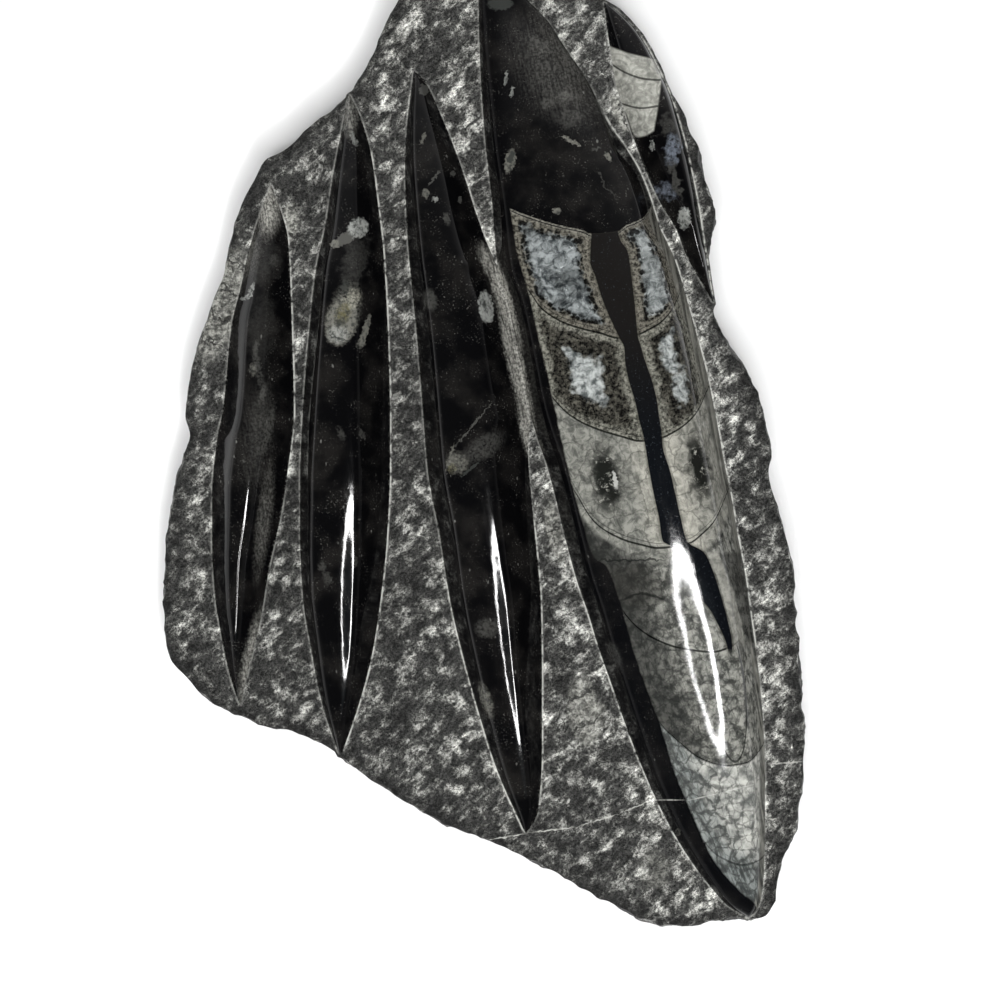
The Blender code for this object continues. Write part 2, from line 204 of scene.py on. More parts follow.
def curve(points, value):
    """Smooth curve through (key, value) pairs that doesn't overshoot, at an array of keys."""
    keys = np.array([p[0] for p in points], float)
    vals = np.array([p[1] for p in points], float)
    steps = np.diff(vals) / np.diff(keys)
    slopes = np.concatenate([steps[:1], np.zeros(len(keys) - 2), steps[-1:]])
    same = steps[:-1] * steps[1:] > 0.0
    slopes[1:-1][same] = 2.0 * steps[:-1][same] * steps[1:][same] / (steps[:-1] + steps[1:])[same]
    value = np.clip(np.asarray(value, float), keys[0], keys[-1])
    i = np.clip(np.searchsorted(keys, value, side="right") - 1, 0, len(keys) - 2)
    width = keys[i + 1] - keys[i]
    t = (value - keys[i]) / width
    return ((1 + 2 * t) * (1 - t) ** 2 * vals[i] + t * (1 - t) ** 2 * width * slopes[i]
            + t * t * (3 - 2 * t) * vals[i + 1] + t * t * (t - 1) * width * slopes[i + 1])


def smoothstep(low, high, value):
    """0 below low, 1 above high and smooth between."""
    t = np.clip((value - low) / (high - low), 0.0, 1.0)
    return t * t * (3.0 - 2.0 * t)


def blend_min(a, b, radius):
    """The lower of two heights, rounded where they meet."""
    h = np.maximum(radius - np.abs(a - b), 0.0) / radius
    return np.minimum(a, b) - h * h * radius * 0.25


def wavy(points, size, seed):
    """Smooth noise from -1 to 1 with bumps about size millimetres wide."""
    return np.array([noise.noise(Vector((x / size, y / size, seed))) for x, y in points])


def tree_of(points):
    """A tree that finds points on the plane."""
    tree = KDTree(len(points))
    for i, (x, y) in enumerate(points):
        tree.insert((x, y, 0.0), i)
    tree.balance()
    return tree


def extent(name):
    """The drawing heights of a spindle's top and bottom."""
    return SPINDLES[name]["left"][0][0], SPINDLES[name]["left"][-1][0]


def edges_at(name, y):
    """The left and right edge of a spindle at drawing height y; the third one stops against the fourth."""
    left = curve(SPINDLES[name]["left"], y)
    right = curve(SPINDLES[name]["right"], y)
    if name == "third":
        limit = curve(SPINDLES["fourth"]["left"], y)
        right = np.where(right > limit - 1.2, limit, right)
    return left, right


def edge_pieces(name, ys):
    """A spindle's left and right edge between drawing heights, each as pieces between points in millimetres."""
    lines = [np.stack(place(x, ys), 1) for x in edges_at(name, ys)]
    return [list(zip(line, line[1:])) for line in lines]


def raised(name, x, y):
    """Height of one spindle over the ground in millimetres, x and y in drawing units; negative beside it."""
    s = SPINDLES[name]
    top, bottom = extent(name)
    xl, xr = edges_at(name, y)
    lean_l, lean_r = (np.cos(np.arctan((curve(s[side], y + 4) - curve(s[side], y)) / 4.0))
                      for side in ("left", "right"))
    t = np.clip((y - top) / (bottom - top), 0.0, 1.0) ** s["peak"]
    arch = np.maximum(np.sin(math.pi * t), 0.0) ** s["arch"]
    rise_l = s["flank"][0] * (x - xl) * lean_l * UNIT
    sheer = 1.0 + SHEER * (1.0 - smoothstep(*SHEER_END, y)) if name == "fourth" else 1.0
    rise_r = s["flank"][1] * sheer * (xr - x) * lean_r * UNIT
    v = np.clip((2.0 * x - xl - xr) / np.maximum(xr - xl, 0.01), -1.2, 1.2)
    w = v - s["shift"] * (1.0 - v * v)
    crown = s["crown"] * arch * (1.0 - s["fall"][0] * w * w - s["fall"][1] * w ** 4
                                 + 2.0 * s["lean"] * (v - v ** 3)) + 0.5
    return blend_min(blend_min(rise_l, rise_r, SHOULDER_BLEND), crown, SHOULDER_BLEND)


def carved(name, x, y):
    """Height over the ground with the valley between the third and fourth spindle rounded out."""
    h = raised(name, x, y)
    other = {"third": "fourth", "fourth": "third"}.get(name)
    if other:
        gap = curve(SPINDLES["fourth"]["left"], y) - edges_at("third", y)[1]
        near = np.clip(1.0 - gap / VALLEY_REACH, 0.0, 1.0) * ((y > VALLEY_HEIGHTS[0]) & (y < VALLEY_HEIGHTS[1]))
        radius = np.maximum(VALLEY * near, 0.01)
        beside = raised(other, x, y)
        mix = np.maximum(radius - np.abs(h - beside), 0.0) / radius
        h = np.where(near > 0.0, np.maximum(h, beside) + mix * mix * radius * 0.25, h)
    return h


def smooth_outline(points, step):
    """Even points, in drawing units, along the closed smooth curve through the outline's points."""
    p = np.array(points, float)
    a, b, c, d = np.roll(p, 1, 0), p, np.roll(p, -1, 0), np.roll(p, -2, 0)
    path = []
    for t in np.arange(12) / 12.0:
        path.append(0.5 * (2 * b + (c - a) * t + (2 * a - 5 * b + 4 * c - d) * t * t
                           + (3 * b - a - 3 * c + d) * t ** 3))
    path = np.stack(path, 1).reshape(-1, 2)
    closed = np.vstack([path, path[:1]])
    lengths = np.concatenate([[0.0], np.cumsum(np.linalg.norm(np.diff(closed, axis=0), axis=1))])
    want = np.linspace(0.0, lengths[-1], int(round(lengths[-1] / step)), endpoint=False)
    return np.stack([np.interp(want, lengths, closed[:, k]) for k in range(2)], 1)


class Near:
    """Finds the distance from points to a set of lines given as pieces between end points."""

    def __init__(self, pieces):
        self.a = np.array([p[0] for p in pieces], float)
        self.b = np.array([p[1] for p in pieces], float)
        self.tree = tree_of((self.a + self.b) * 0.5)

    def distance(self, points):
        points = np.asarray(points, float)
        best = np.full(len(points), 1e9)
        found = np.array([[hit[1] for hit in self.tree.find_n((x, y, 0.0), 3)] for x, y in points])
        for nearest in found.T:
            a, b = self.a[nearest], self.b[nearest]
            along = b - a
            t = np.clip(((points - a) * along).sum(1) / np.maximum((along ** 2).sum(1), 1e-9), 0.0, 1.0)
            best = np.minimum(best, np.linalg.norm(a + along * t[:, None] - points, axis=1))
        return best


def within(polygon, points):
    """Which points lie in a closed polygon."""
    x, y = points[:, 0], points[:, 1]
    odd = np.zeros(len(points), bool)
    for (ax, ay), (bx, by) in zip(polygon, np.roll(polygon, -1, 0)):
        if ay != by:
            cross = (ay > y) != (by > y)
            odd ^= cross & (x < ax + (y - ay) / (by - ay) * (bx - ax))
    return odd


def loop_pieces(points):
    """A closed line as pieces between its points."""
    return list(zip(points, np.roll(points, -1, 0)))


# ---------------------------------------------------------------- the mesh
def add_object(name, data):
    obj = bpy.data.objects.new(name, data)
    bpy.context.scene.collection.objects.link(obj)
    return obj


def ground_base(points, rim_distance):
    """Height of the ground before it is pecked: slow swells, falling at the rim."""
    droop = RIM_DROP * np.clip(1.0 - rim_distance / RIM_WIDTH, 0.0, 1.0) ** 2
    return GROUND + SWELL * wavy(points * 0.028, 1.0, 0.3) - droop


class Surface:
    """The slab's vertices, faces and sharp edges, with the values at each vertex that its materials read."""

    def __init__(self):
        self.xyz, self.faces, self.sharp = [], [], set()
        self.fields = {"polish": [], "bruise": [], "pit_shade": [], "trim": []}
        self.spindles = []           # first and last face of each

    def vertex(self, x, y, z, polish=-FAR, bruise=0.0, pit_shade=1.0, trim=0.0):
        """A new vertex. Its polish is the distance from the spindles' edges, negative on the ground."""
        self.xyz.append((x, y, z))
        for name, value in zip(self.fields, (polish, bruise, pit_shade, trim)):
            self.fields[name].append(value)
        return len(self.xyz) - 1

    def face(self, *corners):
        self.faces.append(tuple(map(int, corners)))

    def crease(self, chain):
        """Make the edges along a chain of vertices sharp."""
        self.sharp |= {tuple(sorted(map(int, pair))) for pair in zip(chain, chain[1:])}


def break_chips(rim):
    """Chips broken off the sides: place along the rim, depth below it, size and bite."""
    length = len(rim) * RIM_STEP
    chips, at = [], 0.0
    def chip(at, kind, share=1.0):
        depth, size, deep = (random.uniform(*kind[key]) for key in ("depth", "size", "bite"))
        chips.append((at, depth, size, share * deep))

    while at < length:
        x, y = rim[int(at / RIM_STEP) % len(rim)] / (UNIT, -UNIT) + CENTRE
        chip(at, RIM_CHIPS, CHIPPED if x > CHIPPED_RIGHT or y > CHIPPED_LOW else
             LESS_CHIPPED if y > LESS_CHIPPED_LOW else LEAST_CHIPPED)
        at += random.uniform(*RIM_CHIPS["gap"])
    for _ in range(SIDE_CHIPS["number"]):
        chip(random.uniform(0, length), SIDE_CHIPS)
    return chips


def bite(chips, steps, depth):
    """How far the stone is broken away all round at a depth below the rim."""
    arc = np.arange(steps) * RIM_STEP
    cut = np.zeros(steps)
    for at, middle, size, deep in chips:
        if abs(middle - depth) < size:
            d = np.abs(arc - at)
            d = np.minimum(d, steps * RIM_STEP - d)
            cut = np.maximum(cut, deep * np.clip(1.0 - (d * d + (depth - middle) ** 2) / (size * size), 0.0, 1.0))
    return cut


def spindle_rows(flat):
    """Add the spindles' edge points to the flat ones; gives each one's rows, tips and outline."""
    found = {}
    meeting = {}                     # points of the third one's right edge, which the fourth may share
    for name, s in SPINDLES.items():
        top, bottom = extent(name)
        ys = np.arange(math.ceil((top + TIP) / ROW), math.floor((bottom - TIP) / ROW) + 1) * ROW
        left, right = edges_at(name, ys)
        rows = []
        for y, x_left, x_right in zip(ys, left, right):
            first = meeting.get(y) if name == "fourth" else None
            if first is None or abs(flat[first][0] - place(x_left, y)[0]) > 1e-6:
                first = len(flat)
                flat.append(place(x_left, y))
            rows.append((first, len(flat)))
            if name == "third":
                meeting[y] = len(flat)
            flat.append(place(x_right, y))
        tips = [len(flat), len(flat) + 1]
        flat += [place(0.5 * (s["left"][end][1] + s["right"][end][1]), y) for end, y in ((0, top), (-1, bottom))]
        outline = [tips[0]] + [r[0] for r in rows] + [tips[1]] + [r[1] for r in reversed(rows)]
        found[name] = dict(y=ys, left=left, right=right, rows=rows, tips=tips, outline=outline)
    return found


def peck(points):
    """Depth of the point tool's marks at each ground point, and how white the stone is crushed there."""
    tree = tree_of(points)
    relief, bruise = np.zeros(len(points)), np.zeros(len(points))
    across = STRIKE_STEP * 0.87
    for row in range(int(-(HALF_LONG + 2) / across), int((HALF_LONG + 2) / across)):
        for col in range(int(-(HALF_WIDE + 2) / STRIKE_STEP), int((HALF_WIDE + 2) / STRIKE_STEP)):
            cx = (col + 0.5 * (row % 2) + random.uniform(-STRIKE_JITTER, STRIKE_JITTER)) * STRIKE_STEP
            cy = (row + random.uniform(-STRIKE_JITTER, STRIKE_JITTER)) * across
            streak = float(smoothstep(*STREAKS, cy))
            turn = STREAK_TURN + random.uniform(-0.35, 0.35) if streak > 0.3 else random.uniform(0, 3.14)
            stretch = STRIKE_STRETCH + STREAK_STRETCH * streak + random.uniform(-0.1, 0.35)
            size = random.uniform(*STRIKE_SIZE) / math.sqrt(stretch)
            deep = random.uniform(*STRIKE_DEPTH)
            crushed = random.choice(CRUSHED)
            ux, uy = math.cos(turn), math.sin(turn)
            side = random.uniform(0.0, 6.28)
            ox, oy = 0.45 * math.cos(side), 0.45 * math.sin(side)
            for _, i, _ in tree.find_range((cx, cy, 0.0), size * stretch * 1.6):
                dx, dy = points[i][0] - cx, points[i][1] - cy
                u = (dx * ux + dy * uy) / (size * stretch)
                v = (dy * ux - dx * uy) / size
                r = math.sqrt(u * u + v * v)
                if r < 1.0:
                    relief[i] = min(relief[i], -deep * (1.0 - r * r) ** 1.5)
                if r < 1.6:
                    relief[i] += 0.10 * deep * math.exp(-((r - 1.15) / 0.25) ** 2)
                b = math.sqrt((u - ox) ** 2 + (v - oy) ** 2)
                if b < 1.0:
                    bruise[i] = max(bruise[i], crushed * (1.0 - b * b))
    return relief, bruise


def add_ground(surface, flat, steps, spindles, near_spindle, near_rim):
    """The pecked ground between the rim and the spindles; gives the vertex of each flat point."""
    outlines = [np.array([flat[i] for i in spindle["outline"]]) for spindle in spindles.values()]
    rim = np.array(flat[:steps])

    def on_ground(points):
        """Which points lie inside the rim and outside the spindles."""
        keep = within(rim, points)
        for outline in outlines:
            keep &= ~within(outline, points)
        return keep

    # loose points on a jittered triangular grid
    across = GRAIN * math.sqrt(0.75)
    loose = []
    for row in range(int(-HALF_LONG / across), int(HALF_LONG / across)):
        xs = (np.arange(int(-HALF_WIDE / GRAIN), int(HALF_WIDE / GRAIN)) + 0.5 * (row % 2)) * GRAIN
        loose.append(np.stack([xs, np.full(len(xs), row * across)], 1))
    loose = np.vstack(loose)
    loose += np.random.default_rng(SEED).uniform(-0.16, 0.16, loose.shape) * GRAIN
    loose = loose[on_ground(loose)]
    loose = loose[(near_spindle.distance(loose) > 0.45 * GRAIN) & (near_rim.distance(loose) > 0.5 * GRAIN)]

    borders = [pair for chain in [range(steps)] + [spindle["outline"] for spindle in spindles.values()]
               for pair in zip(chain, [*chain[1:], chain[0]])]
    points, _, triangles, origin, _, _ = delaunay_2d_cdt(
        [Vector(p) for p in flat] + [Vector(p) for p in loose], borders, [], 0, 1e-6)
    points = np.array([tuple(p) for p in points])
    triangles = np.array([tuple(t) for t in triangles])
    triangles = triangles[on_ground(points[triangles].mean(1))]
    vertex_of = {old: new for new, olds in enumerate(origin) for old in olds}

    to_spindle, to_rim = near_spindle.distance(points), near_rim.distance(points)
    base = ground_base(points, to_rim)
    relief, bruise = peck(points)
    fade = smoothstep(0.0, 1.3, to_spindle)
    rough = 0.16 * wavy(points, 1.1, 2.0) + 0.10 * wavy(points, 0.62, 5.0)
    height = base + (relief + rough) * fade * smoothstep(-0.5, 1.2, to_rim)

    # the spindles' edges lie on the unpecked ground, lifted where the third and the fourth meet in their valley
    edge = [vertex_of[i] for i in range(steps, len(flat))]
    height[edge] = base[edge]
    for name, side in (("third", 1), ("fourth", 0)):
        edge = [vertex_of[row[side]] for row in spindles[name]["rows"]]
        x, y = points[edge].T
        height[edge] = base[edge] + np.maximum(carved(name, x / UNIT + CENTRE[0], CENTRE[1] - y / UNIT), 0.0)

    bright = [piece for name, side, first, last in TRIMMED
              for piece in edge_pieces(name, np.linspace(first, last, 120))[side]]
    close = np.flatnonzero(to_spindle < 1.2)
    trim = np.full(len(points), FAINT_TRIM)
    trim[close] = np.where(Near(bright).distance(points[close]) < 1.3, 1.0, FAINT_TRIM)

    # painted shade: the blows' pits darkened and their raised rims a little lightened; the ground is also darker
    # towards the rim
    pit_shade = (1.0 + np.clip(relief, -1.0, 0.4) * fade * 0.5) * (0.55 + 0.45 * smoothstep(0.5, 4.5, to_rim))
    bruise *= 0.25 + 0.75 * smoothstep(0.8, 5.0, to_rim)
    for values in zip(*points.T, height, -np.minimum(to_spindle, FAR), bruise, pit_shade, trim):
        surface.vertex(*values)
    for triangle in triangles:
        surface.face(*triangle)
    return vertex_of


def add_spindle(surface, name, spindle, vertex_of, near_spindle, near_rim):
    """The polished flanks and crown of one spindle."""
    first_face = len(surface.faces)
    left, right = spindle["left"], spindle["right"]
    flank = np.minimum(0.30 * (right - left), 21.0 if name == "fourth" else 17.0)[:, None]
    columns = SPINDLES[name]["columns"]
    crown = np.arange(1, columns) / columns
    x = np.concatenate([left[:, None] + flank * FLANK_COLUMNS,
                        left[:, None] + flank + ((right - left)[:, None] - 2 * flank) * crown,
                        right[:, None] - flank * FLANK_COLUMNS[::-1]], 1)
    y = np.repeat(spindle["y"], x.shape[1])
    points = np.stack(place(x.ravel(), y), 1)
    h = np.maximum(carved(name, x.ravel(), y), 0.0)
    to_edge = near_spindle.distance(points)
    swell = ground_base(points, near_rim.distance(points)) - GROUND
    wave = 0.035 * wavy(points, 9.0, 8.0) + 0.010 * wavy(points, 3.2, 4.0)
    z = GROUND + h + swell * np.exp(-h / 1.5) + wave * smoothstep(1.0, 4.0, h)

    index = np.zeros(x.shape, int)
    for column in (0, -1):
        index[:, column] = [vertex_of[row[column]] for row in spindle["rows"]]
    for k, (r, c) in enumerate(np.ndindex(x.shape)):
        if 0 < c < x.shape[1] - 1:
            index[r, c] = surface.vertex(*points[k], z[k], polish=to_edge[k])
    for quad in np.stack([index[:-1, :-1], index[1:, :-1], index[1:, 1:], index[:-1, 1:]], 2).reshape(-1, 4):
        surface.face(*quad)
    first, last = (vertex_of[tip] for tip in spindle["tips"])
    for p, q in zip(index[0], index[0, 1:]):
        surface.face(first, p, q)
    for p, q in zip(index[-1], index[-1, 1:]):
        surface.face(last, q, p)
    for column in (0, -1):
        surface.crease([first, *index[:, column], last])
    surface.spindles.append((first_face, len(surface.faces)))


def add_sides(surface, rim, inward, chips, room, top):
    """The broken sides, ring by ring down from the rim's vertices, and the flat sawn back."""
    surface.wall = len(surface.faces)
    rim_z = np.array([surface.xyz[i][2] for i in top])
    rings = [top]
    for depth in SIDE_DEPTHS:
        rough = []
        for x, y in rim:
            v = Vector((x, y, depth * 1.3))
            broad = noise.noise(v * 0.085) * 1.5
            facet = abs(noise.noise(v * 0.21 + Vector((9, 3, 1)))) * 1.6
            fine = noise.noise(v * 0.8) * 0.22 + noise.noise(v * 1.9) * 0.10
            rough.append(max(broad, -0.4) + facet + fine)
        rough = np.array(rough) * smoothstep(0.0, 6.0, depth)
        roll = 0.45 * (1.0 - min(depth / 2.4, 1.0)) ** 2
        under = 1.6 * smoothstep(14.0, 24.0, depth)
        shift = np.minimum(roll + bite(chips, len(rim), depth), room + 0.25 * depth) + rough + under
        rings.append([surface.vertex(*p, z)
                      for p, z in zip(rim + inward * shift[:, None], rim_z - depth * (rim_z / 24.3))])
    foot = np.array([surface.xyz[i][:2] for i in rings[-1]]) + inward * 0.7
    rings.append([surface.vertex(*p, 0.0) for p in foot])
    for high, low in zip(rings, rings[1:]):
        for k, j in zip(range(len(rim)), [*range(1, len(rim)), 0]):
            surface.face(high[k], high[j], low[j], low[k])
    surface.crease([*rings[-1], rings[-1][0]])
    surface.steps, surface.rings = len(rim), len(rings)

    surface.back = len(surface.faces)
    around = list(range(len(rim)))
    corners = [Vector(surface.xyz[i][:2]) for i in rings[-1]]
    _, _, triangles, origin, _, _ = delaunay_2d_cdt(corners, list(zip(around, around[1:] + around[:1])), [around],
                                                    1, 1e-6)
    for triangle in triangles:
        surface.face(*(rings[-1][origin[i][0]] for i in reversed(triangle)))


def build_slab():
    """The whole slab as one closed surface."""
    random.seed(SEED)
    rim = smooth_outline(SLAB, RIM_STEP / UNIT)
    rim = np.stack(place(rim[:, 0], rim[:, 1]), 1)
    around = np.roll(rim, -1, 0) - np.roll(rim, 1, 0)
    inward = np.stack([-around[:, 1], around[:, 0]], 1) / np.linalg.norm(around, axis=1)[:, None]
    chips = break_chips(rim)
    # the chips bite into the rim, but never into a spindle
    edges = [piece for name in SPINDLES for side in edge_pieces(name, np.linspace(*extent(name), 200))
             for piece in side]
    room = np.maximum(Near(edges).distance(rim) - 0.6, 0.05)
    bitten = rim + inward * np.minimum(0.45 + bite(chips, len(rim), 0.0), room)[:, None]

    flat = [tuple(p) for p in bitten]
    spindles = spindle_rows(flat)
    near_spindle = Near([piece for spindle in spindles.values()
                         for piece in loop_pieces([flat[i] for i in spindle["outline"]])])
    near_rim = Near(loop_pieces(bitten))
    surface = Surface()
    vertex_of = add_ground(surface, flat, len(rim), spindles, near_spindle, near_rim)
    for name, spindle in spindles.items():
        add_spindle(surface, name, spindle, vertex_of, near_spindle, near_rim)
    add_sides(surface, rim, inward, chips, room, [vertex_of[i] for i in range(len(rim))])
    return surface


def shell_fields(xyz):
    """Where each vertex lies in the picture and in the two shells."""
    x, y, z = xyz.T
    cam_x, cam_y = place(PICTURE, PICTURE)
    scale = CAMERA_UP / (GROUND + CAMERA_UP - z)
    px = PICTURE + (x - cam_x) / UNIT * scale
    py = PICTURE - (y - cam_y) / UNIT * scale
    flat_x = x / UNIT + CENTRE[0]
    flat_y = CENTRE[1] - y / UNIT

    def phase_of(septa, first, last):
        lines = [curve(line, px) for line in septa]
        lines = np.array([lines[0] - first] + lines + [lines[-1] + last])
        number = np.clip((py[None, :] >= lines[1:-1]).sum(0), 0, len(septa))
        above = np.take_along_axis(lines, number[None], 0)[0]
        below = np.take_along_axis(lines, number[None] + 1, 0)[0]
        return number + (py - above) / (below - above), (below - above) * UNIT

    phase, chamber = phase_of(SEPTA, 60.0, 75.0)
    slant = np.cos(np.arctan((curve(SHELL_LEFT, py + 4) - curve(SHELL_LEFT, py - 4)) / 8.0))
    shell = (px - curve(SHELL_LEFT, py)) * UNIT * slant
    big = (flat_y > SHELL_HEIGHTS[0]) & (flat_y < SHELL_HEIGHTS[1])
    big &= flat_x > curve(SPINDLES["fourth"]["left"], flat_y) - 4.0
    big &= flat_x < curve(SPINDLES["fourth"]["right"], flat_y) + 3.0
    shell = np.where(big, np.clip(shell, -FAR, 40.0), -FAR)
    left, right = curve(SIPHUNCLE_LEFT, py), curve(SIPHUNCLE_RIGHT, py)
    across = (px - 0.5 * (left + right)) * UNIT
    half = np.maximum(right - left, 0.5) * 0.5 * UNIT

    small = (flat_x > SMALL_CORNER[0]) & (flat_y < SMALL_CORNER[1])
    small &= flat_x > curve(SPINDLES["fifth"]["left"], flat_y) - 3.0
    outline = np.array(SMALL_SHELL, float)
    seen = np.stack([px, py], 1)
    nearest = np.full(len(x), FAR)
    nearest[small] = Near(loop_pieces(outline)).distance(seen[small]) * UNIT
    shell = np.where(small, np.where(within(outline, seen), nearest, -np.minimum(nearest, FAR)), shell)
    small_phase, small_chamber = phase_of(SMALL_SEPTA, 30.0, 40.0)
    return dict(draw=np.stack([px, py, np.zeros(len(px))], 1), phase=np.where(small, small_phase, phase),
                chamber=np.where(small, small_chamber, chamber), shell=shell,
                across=np.where(small, 60.0, across), half=half)


def lay_out(surface, xyz):
    """The bake's map: the carved face large, the sides in three strips beside it, the back below them."""
    texel = 1.0 / 1024.0
    scale, back_scale = 977.0 * texel / 250.0, 345.0 * texel / 250.0
    face_left, face_low = 10 * texel, 22 * texel
    strip_left, strip_low = 665 * texel, 270 * texel
    strip_long, strip_wide, strip_gap = 740 * texel, 96 * texel, 16 * texel
    per_strip = math.ceil(surface.steps / 3)
    x, y = (xyz[:, :2] - xyz[:, :2].min(0)).T
    uv = []
    for i, face in enumerate(surface.faces):
        if i < surface.wall:
            uv += [(face_left + x[v] * scale, face_low + y[v] * scale) for v in face]
        elif i < surface.back:
            r, k = divmod(i - surface.wall, surface.steps)
            strip, at = divmod(k, per_strip)
            uv += [(strip_left + strip * (strip_wide + strip_gap) + row / (surface.rings - 1) * strip_wide,
                    strip_low + col / per_strip * strip_long)
                   for row, col in ((r, at), (r, at + 1), (r + 1, at + 1), (r + 1, at))]
        else:
            uv += [(strip_left + y[v] * back_scale, face_low + x[v] * back_scale) for v in face]
    return uv


def slab_object(surface, materials):
    """The mesh object with its fields, map and materials."""
    xyz = np.array(surface.xyz)
    mesh = bpy.data.meshes.new("fossil_slab_stone")
    mesh.from_pydata((xyz * 0.001).tolist(), [], surface.faces)
    mesh.uv_layers.new(name="OFBake").data.foreach_set("uv", np.array(lay_out(surface, xyz), np.float32).ravel())
    slot = np.zeros(len(surface.faces), np.int32)
    slot[surface.wall:] = 1
    slot[surface.back:] = 2
    for number, (first, last) in enumerate(surface.spindles):
        slot[first:last] = 3 + number
    mesh.polygons.foreach_set("material_index", slot)
    mesh.polygons.foreach_set("use_smooth", np.ones(len(slot), bool))
    sharp = mesh.attributes.new("sharp_edge", "BOOLEAN", "EDGE")
    sharp.data.foreach_set("value", np.array([tuple(sorted(e.vertices)) in surface.sharp for e in mesh.edges]))
    for name, values in {**surface.fields, **shell_fields(xyz)}.items():
        values = np.array(values, np.float32)
        kind, key = ("FLOAT_VECTOR", "vector") if values.ndim == 2 else ("FLOAT", "value")
        mesh.attributes.new(name, kind, "POINT").data.foreach_set(key, values.ravel())
    for material in materials:
        mesh.materials.append(material)
    bm = bmesh.new()
    bm.from_mesh(mesh)
    bmesh.ops.recalc_face_normals(bm, faces=bm.faces)
    open_edges = sum(1 for e in bm.edges if len(e.link_faces) != 2)
    bm.to_mesh(mesh)
    bm.free()
    mesh.update()
    print("slab:", len(mesh.vertices), "vertices,", sum(len(f) - 2 for f in surface.faces), "triangles,",
          open_edges, "open edges")
    return add_object("fossil_slab_stone", mesh)


# ---------------------------------------------------------------- the stone
def srgb(values):
    """The linear colour of 0 to 255 display values."""
    return *(v / 255.0 / 12.92 if v / 255.0 <= 0.04045 else ((v / 255.0 + 0.055) / 1.055) ** 2.4 for v in values), 1.0


def operator(operation, swapped=False):
    """A Value's operator, which makes a node of that operation."""
    def make(value, other=0.0):
        return value.owner.math(operation, *((other, value) if swapped else (value, other)))
    return make


class Value:
    """What comes out of a node. Sums, products and comparisons of values make further nodes."""

    def __init__(self, owner, socket):
        self.owner, self.socket = owner, socket

    __add__, __radd__ = operator("ADD"), operator("ADD", True)
    __sub__, __rsub__ = operator("SUBTRACT"), operator("SUBTRACT", True)
    __mul__, __rmul__ = operator("MULTIPLY"), operator("MULTIPLY", True)
    __gt__, __lt__, __abs__ = operator("GREATER_THAN"), operator("LESS_THAN"), operator("ABSOLUTE")


class Nodes:
    """Short names for the nodes of a material or a world. Colours are tuples of 0 to 255 display values."""

    def __init__(self, owner):
        owner.use_nodes = True
        self.tree = owner.node_tree

    def make(self, kind, inputs, out=0, **settings):
        """A new node with its inputs, by name or number, and the Value that comes out of it."""
        made = self.tree.nodes.new(kind)
        for key, value in settings.items():
            setattr(made, key, value)
        for key, value in inputs.items():
            self.put(made.inputs[key], value)
        return Value(self, made.outputs[out])

    def put(self, socket, value):
        if isinstance(value, Value):
            self.tree.links.new(value.socket, socket)
        else:
            socket.default_value = value

    def math(self, operation, a, b=0.0, c=0.0, clamp=False):
        return self.make("ShaderNodeMath", {0: a, 1: b, 2: c}, operation=operation, use_clamp=clamp)

    def lowest(self, a, b):
        return self.math("MINIMUM", a, b)

    def highest(self, a, b):
        return self.math("MAXIMUM", a, b)

    def step(self, low, high, value, to_low=0.0, to_high=1.0, smooth=True):
        """A value carried from low and high to other numbers, and held beyond them."""
        if low > high:
            low, high, to_low, to_high = high, low, to_high, to_low
        return self.make("ShaderNodeMapRange", {"Value": value, "From Min": low, "From Max": high, "To Min": to_low,
                                                "To Max": to_high},
                         interpolation_type="SMOOTHSTEP" if smooth else "LINEAR")


